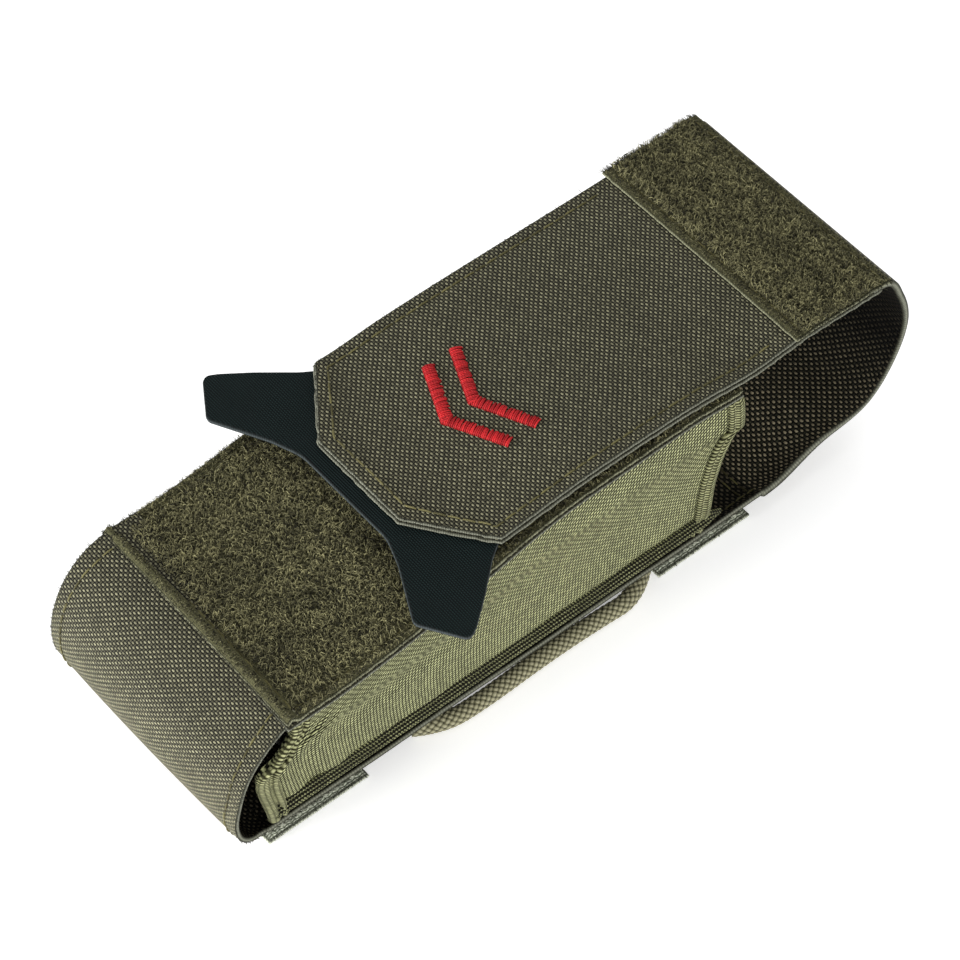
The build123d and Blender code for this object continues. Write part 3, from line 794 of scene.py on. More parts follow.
def add_studio():
    """A pale floor, an even pale surround and three soft lights."""
    mesh = bpy.data.meshes.new("floor")
    reach = 3.0
    mesh.from_pydata([(-reach, -reach, 0), (reach, -reach, 0), (reach, reach, 0),
                      (-reach, reach, 0)], [], [(0, 1, 2, 3)])
    floor = bpy.data.objects.new("floor", mesh)
    bpy.context.scene.collection.objects.link(floor)
    material = bpy.data.materials.new("pale_floor")
    material.use_nodes = True
    shader = material.node_tree.nodes["Principled BSDF"]
    shader.inputs["Base Color"].default_value = (0.93, 0.93, 0.93, 1.0)
    shader.inputs["Roughness"].default_value = 0.9
    shader.inputs["Emission Color"].default_value = WHITE
    shader.inputs["Emission Strength"].default_value = 0.42
    mesh.materials.append(material)
    world = bpy.data.worlds.new("surround")
    world.use_nodes = True
    background = world.node_tree.nodes["Background"]
    background.inputs["Color"].default_value = WHITE
    background.inputs["Strength"].default_value = 0.5
    bpy.context.scene.world = world
    bpy.context.scene.view_settings.view_transform = "Standard"
    for name, (place, size, power) in LIGHTS.items():
        add_area_light(name, place, size, power)


# ---- back of the pouch ---------------------------------------------------------------------
def curled(x, amount):
    """Where a flat place x across the cloth lands when its edges curl up: new x and rise."""
    past = np.clip(np.abs(x) - PANEL_FLAT, 0, None)
    angle = past / CURL_RADIUS
    new_x = np.sign(x) * (np.minimum(np.abs(x), PANEL_FLAT) + CURL_RADIUS * np.sin(angle))
    return x + (new_x - x) * amount, CURL_RADIUS * (1 - np.cos(angle)) * amount


def panel_place(x, y):
    """The inner face of the back panel, which is the side that shows in the mouth."""
    new_x, rise = curled(x, 1.0)
    ripple = 0.15 * np.sin(y / 6.5) * ramp(np.abs(x), 20, 29)
    lip = 0.7 * ramp(np.abs(x), 27.0, 29.0)
    return spots(new_x, y, PANEL_LOW.z + CLOTH_THICK + rise + ripple + lip)


def under(place, depth=CLOTH_THICK):
    """The other side of a cloth, seen from there: V runs the same way and U is turned over."""
    def other(u, v):
        points, normals = on_cloth(place, np.stack([-u, v], axis=-1))
        return points - normals * depth
    return other


def add_back_panel():
    """The back panel with its stitch lines, which show on its face and under it."""
    shape = Shape()
    u, v = flat_grid(selvage(-HALF_CLOTH, HALF_CLOTH, 60),
                     selvage(PANEL_LOW.y, PANEL_HIGH.y, 130))
    add_cloth(shape, panel_place, u, v, CLOTH_THICK, kinds=(REVERSE, FACE, EDGE), seed=11)
    for x in (-HALF_CLOTH + SEAM_INSET, HALF_CLOTH - SEAM_INSET):
        add_stitches(shape, panel_place, [(x, PANEL_LOW.y + 3), (x, PANEL_HIGH.y)])
        add_stitches(shape, under(panel_place), [(-x, PANEL_LOW.y + 3), (-x, PANEL_HIGH.y)])
    for y in (PANEL_HIGH.y - 2.2, PANEL_HIGH.y - 4.2):
        add_stitches(shape, panel_place, [(-26.0, y), (26.0, y)])
    panel = shape.finish("back_cloth", "woven_nylon", CLOTH_SET)
    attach(panel, "pouch")
    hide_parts("back_panel")


def add_back_hem(side):
    """A cloth hem under one side of the back panel: a flat folded strip with two stitch rows."""
    low, high = box(f"back_hem_{side}")
    middle = (low.x + high.x) / 2
    half = (high.x - low.x) / 2

    def place(a, y):
        """Round the outside of the fold: a runs round it from its under side."""
        turn = np.clip(a / half, -1, 1)
        x = middle + half * np.sin(turn * pi / 2) * (1 - 0.04 * np.cos(3 * y))
        z = low.z + 0.08 * np.sin(y / 4.0) + 0.1 + 0.35 * turn**4
        return spots(x, y, z)

    def face(a, y):
        return place(-a, y)

    shape = Shape()
    u, v = flat_grid(selvage(-half, half, 12), selvage(low.y, high.y, 130))
    add_cloth(shape, face, u, v, (high.z - low.z) - 0.5, kinds=(FACE, FACE, EDGE), seed=12)
    for a in (-half + 1.2, half - 1.2):
        add_stitches(shape, face, [(a, low.y + 1), (a, high.y - 1)])
    hem = shape.finish(f"hem_strip_{side}", "woven_nylon", CLOTH_SET)
    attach(hem, "pouch")
    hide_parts(f"back_hem_{side}")


STITCH_ROOM = 0.5           # under the webbing, for the stitches to stand in
TACK_X = 20.5               # where it is sewn down, either side of the middle


def add_webbing(node, name, seed):
    """A flat strap across the back, with thick selvages and cut ends whose yarns show."""
    low, high = box(node)
    middle = (low.y + high.y) / 2
    thick = high.z - low.z

    def place(x, y):
        edge = ramp(np.abs(y - middle), 10.5, 12.4)
        bow = 0.12 * np.sin(x / 5.0) * edge
        return spots(x, y + bow, high.z - 0.12 * edge)

    shape = Shape()
    u, v = flat_grid(selvage(low.x, high.x, 110, 0.5), selvage(low.y, high.y, 50, 0.3))
    add_cloth(shape, place, u, v, thick - STITCH_ROOM, seed=seed)
    for x, out in ((low.x, -1), (high.x, 1)):
        line = [(x, low.y + 0.4), (x, high.y - 0.4)]
        add_fringe(shape, place, line, (out, 0), 120, 0.4, seed + 1, radius=0.16)
        add_stitches(shape, place, [(x - 1.4 * out, low.y + 1), (x - 1.4 * out, high.y - 1)],
                     kind=EDGE, pitch=1.3, radius=0.24)
    for x in (-TACK_X, TACK_X):
        for shift in (-0.9, 0.9):
            line = [(x + shift, low.y + 1.5), (x + shift, high.y - 1.5)]
            add_stitches(shape, under(place, thick - STITCH_ROOM), line)
    strap = shape.finish(name, "webbing", WEBBING_SET)
    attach(strap, "pouch")
    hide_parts(node)


# ---- bottom fold and front -----------------------------------------------------------------
# The strap's outer face from the back panel up to the front patch (Y, Z), at its left edge,
# which stands higher, and at its right edge.
STRAP_STEPS = 200
STRAP_LEFT = smooth_line([(-79.0, 3.9), (-83.5, 5.2), (-87.6, 11.0), (-89.2, 19.5),
                          (-87.6, 28.0), (-84.0, 34.6), (-79.0, 38.8), (-73.5, 40.4),
                          (-66.0, 40.6)], STRAP_STEPS)
STRAP_RIGHT = smooth_line([(-79.0, 3.9), (-83.4, 4.9), (-86.4, 9.0), (-87.7, 14.8),
                           (-86.6, 21.0), (-84.0, 28.0), (-79.5, 33.6), (-73.5, 37.7),
                           (-66.0, 38.6)], STRAP_STEPS)
STRAP_LENGTH = length_of(STRAP_LEFT)
STRAP_SEAM = 3.6            # from its side edges to its stitch lines


def strap_place(x, s):
    """The outer face of the strap round the bottom, at s millimetres from its back end."""
    along = np.clip(s, 0, STRAP_LENGTH) / STRAP_LENGTH
    steps = np.linspace(0, 1, STRAP_STEPS)
    share = np.clip((x + HALF_CLOTH) / (2 * HALF_CLOTH), 0, 1)
    y, z = ((1 - share) * np.interp(along, steps, left) + share * np.interp(along, steps, right)
            for left, right in zip(STRAP_LEFT.T, STRAP_RIGHT.T))
    new_x, rise = curled(x, 1 - ramp(s, 1.0, 15.0))
    crown = 0.8 * (1 - (x / HALF_CLOTH) ** 2) * np.sin(pi * along)
    return spots(new_x, y - crown, z + rise)


def add_bottom_strap():
    """The strap round the bottom, with its two seams and its frayed side edges."""
    shape = Shape()
    u, v = flat_grid(selvage(-HALF_CLOTH, HALF_CLOTH, 70), selvage(0, STRAP_LENGTH, 90))
    add_cloth(shape, strap_place, u, v, CLOTH_THICK, seed=21)
    for x in (-HALF_CLOTH + STRAP_SEAM, HALF_CLOTH - STRAP_SEAM):
        bow = [(x, 2.0), (x * 1.015, 0.3 * STRAP_LENGTH), (x * 1.02, 0.6 * STRAP_LENGTH),
               (x * 0.985, STRAP_LENGTH - 8.5)]
        add_stitches(shape, strap_place, smooth_line(bow, 60), seed=22)
    fringe_sides(shape, strap_place, HALF_CLOTH, 2.0, STRAP_LENGTH, 160, 0.6, 23)
    strap = shape.finish("bottom_cloth", "woven_nylon", STRAP_SET)
    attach(strap, "pouch")
    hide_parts("bottom_strap")


# How far the front patch's face lies under its highest point, along the pouch.
FRONT_DROP = smooth_line([(0.0, 6.9), (14.0, 6.8), (25.0, 5.6), (38.0, 3.6), (52.0, 1.9),
                          (84.0, 0.7), (116.5, 0.2)], 200)


def front_z(x, y):
    """Height of the front patch's face, pile included."""
    drop = np.interp(y - PATCH_LOW.y, *FRONT_DROP.T)
    lean = x / HALF_PATCH
    under_flap = ramp(y, -38.0, 2.0) * (1 - 0.28 * ramp(y, 28.0, 42.0))
    lift = 4.3 * ramp(np.abs(x), 22.0, HALF_PATCH) * under_flap
    return PATCH_HIGH.z - drop - 0.5 * lean**2 - 0.6 * lean + lift


GROOVE = 3.1                # from the patch's bottom edge to the stitched groove
SIDE_GROOVE = 2.2           # the same at its sides
PATCH_THICK = 0.9
PILE_HEIGHT = 1.35


def front_patch_place(x, y):
    """The ground of the front patch, which the pile stands on."""
    side_groove = 0.5 * groove_depth(np.abs(x) - HALF_PATCH + SIDE_GROOVE, 0.6)
    groove = groove_depth(y - PATCH_LOW.y - GROOVE, 1.0) + side_groove
    roll = 1.1 * groove_depth(y - PATCH_LOW.y - 1.3, 1.1)
    z = front_z(x, y) - PILE_HEIGHT - 0.5 * groove + roll
    return spots(x, y, z)


def front_pile_height(x, y):
    """The pile is short outside the seams and pressed down along them."""
    groove = np.maximum(groove_depth(y - PATCH_LOW.y - GROOVE, 1.1),
                        0.7 * groove_depth(np.abs(x) - HALF_PATCH + SIDE_GROOVE, 0.8))
    end = np.where(y < PATCH_LOW.y + GROOVE, 0.3, 1.0)
    side = np.where(np.abs(x) > HALF_PATCH - SIDE_GROOVE, 0.7, 1.0)
    return PILE_HEIGHT * end * side * (1 - 0.93 * groove)


def add_front_patch():
    """The loop patch that covers the front: ground, pile, stitched groove, cut edges."""
    shape = Shape()
    u, v = flat_grid(selvage(-HALF_PATCH, HALF_PATCH, 60),
                     selvage(PATCH_LOW.y, PATCH_HIGH.y, 120))
    add_cloth(shape, front_patch_place, u, v, PATCH_THICK, seed=31, fray=0.25)
    low, high = (-HALF_PATCH + 0.3, PATCH_LOW.y + 0.4), (HALF_PATCH - 0.3, PATCH_HIGH.y - 0.4)
    split = PATCH_LOW.y + 45
    pile = [add_pile("front_pile_low", "pouch", front_patch_place, low, (high[0], split), 24000,
                     front_pile_height, 32),
            add_pile("front_pile_high", "pouch", front_patch_place, (low[0], split), high, 24000,
                     front_pile_height, 33)]
    seam_y = PATCH_LOW.y + GROOVE
    add_stitches(shape, front_patch_place, [(-27, seam_y), (27, seam_y)])
    for x in (-HALF_PATCH + SIDE_GROOVE, HALF_PATCH - SIDE_GROOVE):
        add_stitches(shape, front_patch_place, [(x, seam_y), (x, PATCH_HIGH.y - 2)])
    fringe_sides(shape, front_patch_place, HALF_PATCH, PATCH_LOW.y, PATCH_HIGH.y, 500, 0.7, 34)
    bottom = [(-HALF_PATCH, PATCH_LOW.y), (HALF_PATCH, PATCH_LOW.y)]
    add_fringe(shape, front_patch_place, bottom, (0, -1), 260, 0.5, 35)
    patch = shape.finish("front_patch", "loop_pile", PATCH_SET)
    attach(patch, "pouch")
    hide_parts("front_loop_patch")


STRIP_PROUD = 0.9           # its cut edges show beside the patch


def front_strip_place(x, y):
    """The face of the cloth just under the front patch."""
    return spots(x, y, front_z(x, y) - (PILE_HEIGHT + PATCH_THICK + 0.05))


def add_front_strip():
    """The cloth between the front patch and the elastic."""
    low, high = box("front_strip")
    shape = Shape()
    half = high.x + STRIP_PROUD
    u, v = flat_grid(selvage(-half, half, 60), selvage(low.y, high.y, 80))
    add_cloth(shape, front_strip_place, u, v, 0.9, kinds=(FACE, FACE, EDGE), seed=41)
    fringe_sides(shape, front_strip_place, half, low.y, high.y, 220, 0.4, 42)
    strip = shape.finish("front_cloth", "woven_nylon", CLOTH_SET)
    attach(strip, "pouch")
    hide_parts("front_strip")


# ---- elastic sleeve ------------------------------------------------------------------------
SLEEVE_CORNER = 1.6
SLEEVE_DEPTH = 3.0          # from the front patch's face to the elastic's
SLEEVE_LENGTH = 118.0
HEM_WIDTH = 4.0
WALL_HEIGHT = 30.0          # of the flat cloth, from the corner to the foot
SLEEVE_HALF = WALL_HIGH.x - SLEEVE_CORNER + SLEEVE_CORNER * pi / 2 + WALL_HEIGHT
# Ends of the sleeve along Y, from the foot (0) to the front (1).
MOUTH_CURVE = smooth_line([(0.0, 33.6), (0.36, 34.4), (0.56, 35.8), (0.73, 38.4), (0.83, 40.8),
                           (0.94, 42.3), (1.0, 42.2)], 80)
BOTTOM_CURVE = smooth_line([(0.0, -78.6), (0.3, -80.2), (0.62, -81.6), (0.85, -77.6),
                            (1.0, -72.5)], 80)


def sleeve_place(p, t, proud=0.0):
    """The outer face of the sleeve.  p runs across it from the left foot over the front to the
    right foot, in millimetres of cloth, and t along it from 0 at the bottom to 1 at the mouth."""
    side, reach = np.sign(p), np.abs(p)
    flat_half = WALL_HIGH.x - SLEEVE_CORNER
    angle = np.clip((reach - flat_half) / SLEEVE_CORNER, 0, pi / 2)
    down = np.clip((reach - flat_half - SLEEVE_CORNER * pi / 2) / WALL_HEIGHT, 0, 1.02)
    share = 1 - down
    low = np.interp(share, *BOTTOM_CURVE.T)
    high = np.interp(share, *MOUTH_CURVE.T)
    y = low + t * (high - low)
    top = front_z(side * np.minimum(reach, flat_half), y) - SLEEVE_DEPTH
    foot = WALL_LOW.z + 1.0
    z = top - SLEEVE_CORNER * (1 - np.cos(angle)) - down * (top - SLEEVE_CORNER - foot)
    z = z - 2.5 * ramp(-y, 68.0, 80.0) * (1 - down)
    x = np.minimum(reach, flat_half) + SLEEVE_CORNER * np.sin(angle)
    from_bottom = y - low
    belly = np.sin(pi * np.clip(down, 0, 1)) ** 0.8
    x = x + belly * (0.5 + 0.5 * np.sin((y + 80) / 120 * pi)) - 1.1 * ramp(down, 0.75, 1.0)
    # Soft folds where the sleeve is gathered at its bottom end, slanting up towards the mouth.
    slant = from_bottom - 10 * down
    folds = 0.45 * np.exp(-((slant / 16) ** 2)) * np.sin(slant / 1.7 + 3 * down)
    under_corner = np.exp(-(((from_bottom - 7) / 8) ** 2)) * np.exp(-(((down - 0.16) / 0.16) ** 2))
    folds += 0.75 * under_corner * np.sin((from_bottom + 6 * down) / 0.62)
    waves = np.sin((z - 0.16 * y) / 1.55) * np.exp(-(((share - 0.80) / 0.16) ** 2))
    folds += 0.3 * waves * np.exp(-(((y + 52) / 26) ** 2))
    x = x + folds * belly + proud
    return spots(side * x, y, z + proud * np.cos(angle) * 0.3)


def add_sleeve():
    """The elastic sleeve: one band of ribbed elastic round the two sides and the front."""
    shape = Shape()
    u, v = flat_grid(selvage(-SLEEVE_HALF, SLEEVE_HALF, 260), selvage(0.0, 1.0, 220, 0.003))
    add_cloth(shape, sleeve_place, u, v, 1.2, fray=0.02, seed=51)
    shape.cloth[0][:, 1] *= SLEEVE_LENGTH       # t was a share of it
    sleeve = shape.finish("elastic_sleeve", "elastic", ELASTIC_SET)
    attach(sleeve, "pouch")
    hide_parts("elastic_front", "elastic_side_left", "elastic_side_right")


HEM_PROUD = 1.25            # how far the hem's bead stands off the sleeve


def add_sleeve_hem(name, node, start, end):
    """A turned hem across one end of the sleeve, from foot to foot: a rounded bead."""
    def place(p, a):
        """a goes from the hem's sewn edge (0), over its stitched groove, to the very end (1)."""
        t = start + (end - start) * a
        bead = np.sqrt(np.clip(1 - (2 * a - 1) ** 4, 0, 1))
        bead = bead * (1 - 0.55 * groove_depth(a - 0.4, 0.1))
        return sleeve_place(p, t, proud=HEM_PROUD * bead)

    shape = Shape()
    p = selvage(-SLEEVE_HALF + 0.2, SLEEVE_HALF - 0.2, 200)
    u, v = flat_grid(p, np.linspace(0, 1, 24))
    thickness = 0.5 if end > start else -0.5
    add_cloth(shape, place, u, v, thickness, fray=0.02, kinds=(FACE, FACE, FACE), seed=61)
    shape.cloth[0][:, 1] *= HEM_WIDTH           # a was a share of it
    hem = shape.finish(name, "elastic", HEM_SET)
    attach(hem, "pouch")
    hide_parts(node)


# Turned ridges along the foot of a side: height above the CAD ribs' underside, radius, and how
# far their crests lie inside the widest place.  They come in two pairs with a gap between.
RIDGES = [(1.8, 0.5, 1.0), (2.9, 0.52, 0.7), (4.4, 0.52, 0.6), (5.5, 0.48, 0.9)]
# RIDGE_TURN also puts the weave's dark dips on each ridge's up- and down-facing sides, which paints
# the shade between the ridges.
RIDGE_TURN = 0.75           # puts a yarn's crown on the side that is seen


def add_seam_rib(side, sign):
    """The turned ridges of elastic along the foot of one side."""
    low, high = box(f"seam_rib_{side}")
    shape = Shape()
    y = np.linspace(low.y - 0.5, high.y + 0.8, 640)
    for number, (rise, radius, inset) in enumerate(RIDGES):
        wobble = 0.16 * np.sin(y / 3.7 + number) + 0.12 * np.sin(y / 1.9 + 2 * number)
        meet = ramp(y, high.y - 3.5, high.y + 0.8) * (3.6 - rise)
        x = high.x if sign > 0 else -low.x
        line = spots(sign * (x - inset - radius + 0.6 * wobble), y,
                     low.z + rise + wobble + meet)
        beads = 1 + 0.05 * np.sin(2 * pi * y / RIDGE_PITCH)
        from_end = np.minimum(y - y[0], y[-1] - y)
        ends = np.sqrt(1 - (1 - from_end / 1.2).clip(0) ** 2).clip(0.2)
        add_tubes(shape, line[None], radius * beads * ends, 12, FACE)
    for cloth in shape.cloth:
        cloth[:, 1] += RIDGE_TURN
    rib = shape.finish(f"foot_ribs_{side}", "elastic", [RIDGE_ELASTIC_PAINTED_SHADE])
    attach(rib, "pouch")
    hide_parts(f"seam_rib_{side}")


# ---- flap ----------------------------------------------------------------------------------
def flap_face(x, y):
    """Height of the flap's face: it rises over what is inside, more at its right edge."""
    hump = ramp(y, FLAP_LOW.y + 4, 6.0) * (1 - 0.55 * ramp(y, 10.0, 55.0))
    fade = 1 - ramp(y, 58.0, FLAP_HIGH.y - 1)
    dip = 0.25 * np.exp(-(((y + 16) / 7) ** 2)) * (1 - x / HALF_CLOTH)
    seam = 0.2 * groove_depth(np.abs(x) - HALF_CLOTH + SEAM_INSET, 0.6)
    sag = 1.2 * np.exp(-(((y - 45) / 9) ** 2)) * ramp(x, 12.0, HALF_CLOTH)
    return FLAP_HIGH.z + fade * (1.35 * hump + 0.7 * hump * x / HALF_CLOTH - dip - seam - sag)


def flap_place(x, y):
    """The outer face of the flap."""
    return spots(x, y, flap_face(x, y))


def below(place, depth):
    """A cloth that lies a given depth under another."""
    def lower(u, v):
        return place(u, v) - np.array([0.0, 0.0, depth])
    return lower


FLAP_END_HALF = 12.5        # half the width of its straight lower end
FLAP_CORNER_Y = FLAP_LOW.y + 12.0       # where the cuts meet its sides
FLAP_SEAM_TOP = 52.0


def flap_outline(count_x, count_y, inset=0.0):
    """Grids of flat places that fill the flap's outline, with its two cut corners."""
    half = HALF_CLOTH - inset
    turn = FLAP_END_HALF - 0.4 * inset
    x = np.unique(np.concatenate([selvage(-half, half, count_x), [-turn, turn]]))
    cut = (np.abs(x) - turn).clip(0) / (HALF_CLOTH - FLAP_END_HALF)
    low = FLAP_LOW.y + inset + cut * (FLAP_CORNER_Y - FLAP_LOW.y)
    low = low[:, None]
    t = selvage(0.0, 1.0, count_y, 0.002)
    return np.broadcast_to(x[:, None], (len(x), len(t))), low + t * (FLAP_HIGH.y - low)


def flap_seam(inset, top):
    """The stitch line round the flap, a given distance inside its edge."""
    half = HALF_CLOTH - inset
    corner = FLAP_CORNER_Y + 0.35 * inset
    end = FLAP_END_HALF - 0.5 * inset
    return [(-half, top), (-half, corner), (-end, FLAP_LOW.y + inset), (end, FLAP_LOW.y + inset),
            (half, corner), (half, top)]


def add_flap_cloths():
    """The flap's outer cloth with its seam, and the lining under it."""
    shape = Shape()
    u, v = flap_outline(150, 140)
    add_cloth(shape, flap_place, u, v, CLOTH_THICK, seed=71, fray=0.2)
    seam = flap_seam(SEAM_INSET, FLAP_SEAM_TOP)
    add_stitches(shape, flap_place, seam, radius=0.22, lift=0.2, seed=72)
    outline = flap_seam(0.0, FLAP_HIGH.y)
    for start, end in zip(outline, outline[1:]):
        way = unit(np.array([end[1] - start[1], start[0] - end[0]]))
        add_fringe(shape, flap_place, [start, end], way, 90, 0.5, 73)
    outer = shape.finish("flap_cloth", "woven_nylon", CLOTH_SET)
    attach(outer, "flap")
    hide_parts("flap_outer")

    shape = Shape()
    u, v = flap_outline(60, 110, inset=-0.25)
    lining_place = below(flap_place, CLOTH_THICK + 0.04)
    add_cloth(shape, lining_place, u, v, CLOTH_THICK, seed=74, fray=0.3)
    seam_below = [(-x, y) for x, y in seam]
    add_stitches(shape, under(lining_place), seam_below, radius=0.22, lift=0.2)
    lining = shape.finish("flap_lining_cloth", "woven_nylon", CLOTH_SET)
    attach(lining, "flap")
    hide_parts("flap_lining")


HOOK_PITCH = (1.5, 1.3)     # from hook to hook, across and along
HOOK_SEAM = 1.3             # from the hook patch's edge to its stitch line


def add_hook_patch():
    """The hook patch under the flap: tape, and rows of small hooks that point down."""
    low, high = box("flap_hook_patch")
    top = below(flap_place, 2 * CLOTH_THICK + 0.08)
    shape = Shape()
    u, v = flat_grid(selvage(low.x, high.x, 40), selvage(low.y, high.y, 40))
    add_cloth(shape, top, u, v, 0.5, kinds=(FACE, FACE, EDGE), seed=81)
    down = under(top, 0.5)
    x, y = flat_grid(np.arange(low.x + 1.6, high.x - 1.2, HOOK_PITCH[0]),
                     np.arange(low.y + 1.6, high.y - 1.2, HOOK_PITCH[1]))
    x = x + 0.35 * (np.arange(x.shape[1]) % 2)
    root = np.stack([-x.ravel(), y.ravel()], axis=1)
    dice = np.random.default_rng(82)
    lean = np.where(np.arange(len(root)) % 2, 1.0, -1.0)[:, None]
    lean = lean * dice.uniform(0.8, 1.1, (len(root), 1))
    sweep = np.array([0.0, 0.05, 0.3, 0.55, 0.5])
    rise = np.array([-0.1, 0.55, 0.85, 0.6, 0.35])
    flat = root[:, None, :] + np.stack([0 * lean * sweep, lean * sweep], axis=-1)
    points, normals = on_cloth(down, flat)
    add_tubes(shape, points + normals * rise[None, :, None], [0.12, 0.1, 0.1, 0.09, 0.05], 4, EXTRA,
              across=(1.0, 0.0, 0.0), shade=dice.random(len(root)))
    left, right, near, far = (-low.x - HOOK_SEAM, -high.x + HOOK_SEAM, low.y + HOOK_SEAM,
                              high.y - HOOK_SEAM)
    square = [(left, near), (right, near), (right, far), (left, far), (left, near)]
    add_stitches(shape, down, square)
    patch = shape.finish("hook_patch", "hook_tape",
                         (PILE_GROUND, PILE_GROUND, TAPE_EDGE, OLIVE_THREAD, HOOKS))
    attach(patch, "flap")
    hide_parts("flap_hook_patch")


TAPE_SHIFT = 1.6            # the tape's far edge overhangs the fold
TAPE_NEAR, TAPE_FAR = TAPE_LOW.y + TAPE_SHIFT, TAPE_HIGH.y + TAPE_SHIFT
TAPE_SEAM = 2.2             # from its near edge to the stitch line


def tape_place(x, y):
    """The ground of the loop tape across the flap, which droops a little past the fold."""
    past = (y - FLAP_HIGH.y).clip(0)
    ridge = 0.45 * groove_depth(y - TAPE_FAR + 5.4, 1.6)
    seam = 0.3 * groove_depth(y - TAPE_NEAR - TAPE_SEAM, 0.6)
    z = flap_face(x, np.minimum(y, FLAP_HIGH.y)) + CLOTH_THICK + 0.02 - 0.12 * past**1.5
    return spots(x, y, z + ridge - seam)


def tape_pile_height(x, y):
    """The pile is short along the tape's two long edges and pressed down along its seams."""
    groove = np.maximum(groove_depth(y - TAPE_NEAR - TAPE_SEAM, 0.7),
                        0.5 * groove_depth(y - TAPE_FAR + 3.3, 0.9))
    edges = np.where((y < TAPE_NEAR + TAPE_SEAM) | (y > TAPE_FAR - 2.6), 0.3, 1.0)
    return PILE_HEIGHT * edges * (1 - 0.7 * groove)


def add_flap_tape():
    """The loop tape sewn across the flap at the top fold."""
    near, far = TAPE_NEAR, TAPE_FAR
    half = HALF_PATCH + 0.3
    shape = Shape()
    u, v = flat_grid(selvage(-half, half, 60), selvage(near, far, 40))
    add_cloth(shape, tape_place, u, v, 0.9, seed=91, fray=0.2)
    pile = add_pile("flap_tape_pile", "flap", tape_place, (-half + 0.2, near + 0.3),
                    (half - 0.2, far - 0.3), 17000, tape_pile_height, 92)
    for y in (near + TAPE_SEAM, far - 1.6):
        add_stitches(shape, tape_place, [(-half + 1.5, y), (half - 1.5, y)])
    for x in (-half + 1.8, half - 1.8):
        add_stitches(shape, tape_place, [(x, near + 2), (x, far - 2)])
    fringe_sides(shape, tape_place, half, near, far, 300, 0.9, 93)
    tape = shape.finish("flap_tape", "loop_pile", PATCH_SET)
    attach(tape, "flap")
    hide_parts("flap_loop_patch")


CHEVRON_HALF = 13.5         # half its width
CHEVRON_DROP = 6.0          # from its arms' ends down to its tip
CHEVRON_ARM = 2.6           # breadth of an arm
CHEVRON_TIPS = (-11.6, -4.6)
CHEVRON_THREADS = 36        # in each arm


def add_chevrons():
    """Two chevrons in satin stitch that point to the pull tab: thread beside thread."""
    dice = np.random.default_rng(101)
    shape = Shape()
    for tip in CHEVRON_TIPS:
        for sign in (-1, 1):
            share = (np.arange(CHEVRON_THREADS) + 0.5) / CHEVRON_THREADS
            low = np.stack([sign * CHEVRON_HALF * share, tip + CHEVRON_DROP * share], axis=1)
            slope = unit(np.array([-sign * CHEVRON_DROP, CHEVRON_HALF]))
            slant = slope * CHEVRON_ARM + dice.normal(0, 0.13, (CHEVRON_THREADS, 2))
            steps = np.array([0.0, 0.12, 0.35, 0.65, 0.88, 1.0])
            flat = low[:, None, :] + slant[:, None, :] * steps[:, None]
            points, normals = on_cloth(flap_place, flat)
            height = 0.1 + 0.5 * np.sin(pi * steps) ** 0.6 - np.array([0.2, 0, 0, 0, 0, 0.2])
            add_tubes(shape, points + normals * height[None, :, None],
                      [0.12, 0.2, 0.21, 0.21, 0.2, 0.12], 6, FACE,
                      shade=dice.random(CHEVRON_THREADS))
    chevrons = shape.finish("satin_chevrons", "red_thread", [RED_THREAD])
    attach(chevrons, "flap")
    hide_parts("sewn_chevrons")


# ---- top fold ------------------------------------------------------------------------------
FOLD_THICK = 1.6
FOLD_REACH = 2.2            # how far the cloth bends to either side of a hinge
FOLD_JOINTS = ("fold_bend_1", "fold_bend_2", "fold_bend_3", "flap_open")
FOLD_BULGES = (-0.6, 1.9, 1.9)  # how far the cloth bows out between neighbouring hinges


def fold_line():
    """The middle of the fold's cloth (Y, Z) from the panel to the flap, through the hinges, and
    the lengths along it at which it is split: half way between hinges."""
    hinges = [hinge(name) for name in FOLD_JOINTS]
    between = []
    for a, b, bulge in zip(hinges, hinges[1:], FOLD_BULGES):
        along = unit(b - a)
        between.append((a + b) / 2 + bulge * np.array([along[1], -along[0]]))
    start = np.array([PANEL_HIGH.y - 1.0, PANEL_LOW.z + CLOTH_THICK / 2])
    end = hinges[3] + np.array([-2.5, 0.0])
    points = [start, hinges[0] + np.array([1.5, -0.5]), between[0], hinges[1], between[1],
              hinges[2], between[2], hinges[3] + np.array([1.2, -0.4]), end]
    line = smooth_line(points, 400)
    splits = [int(np.linalg.norm(line - b, axis=1).argmin()) for b in between]
    return line, [0, *splits, len(line) - 1]


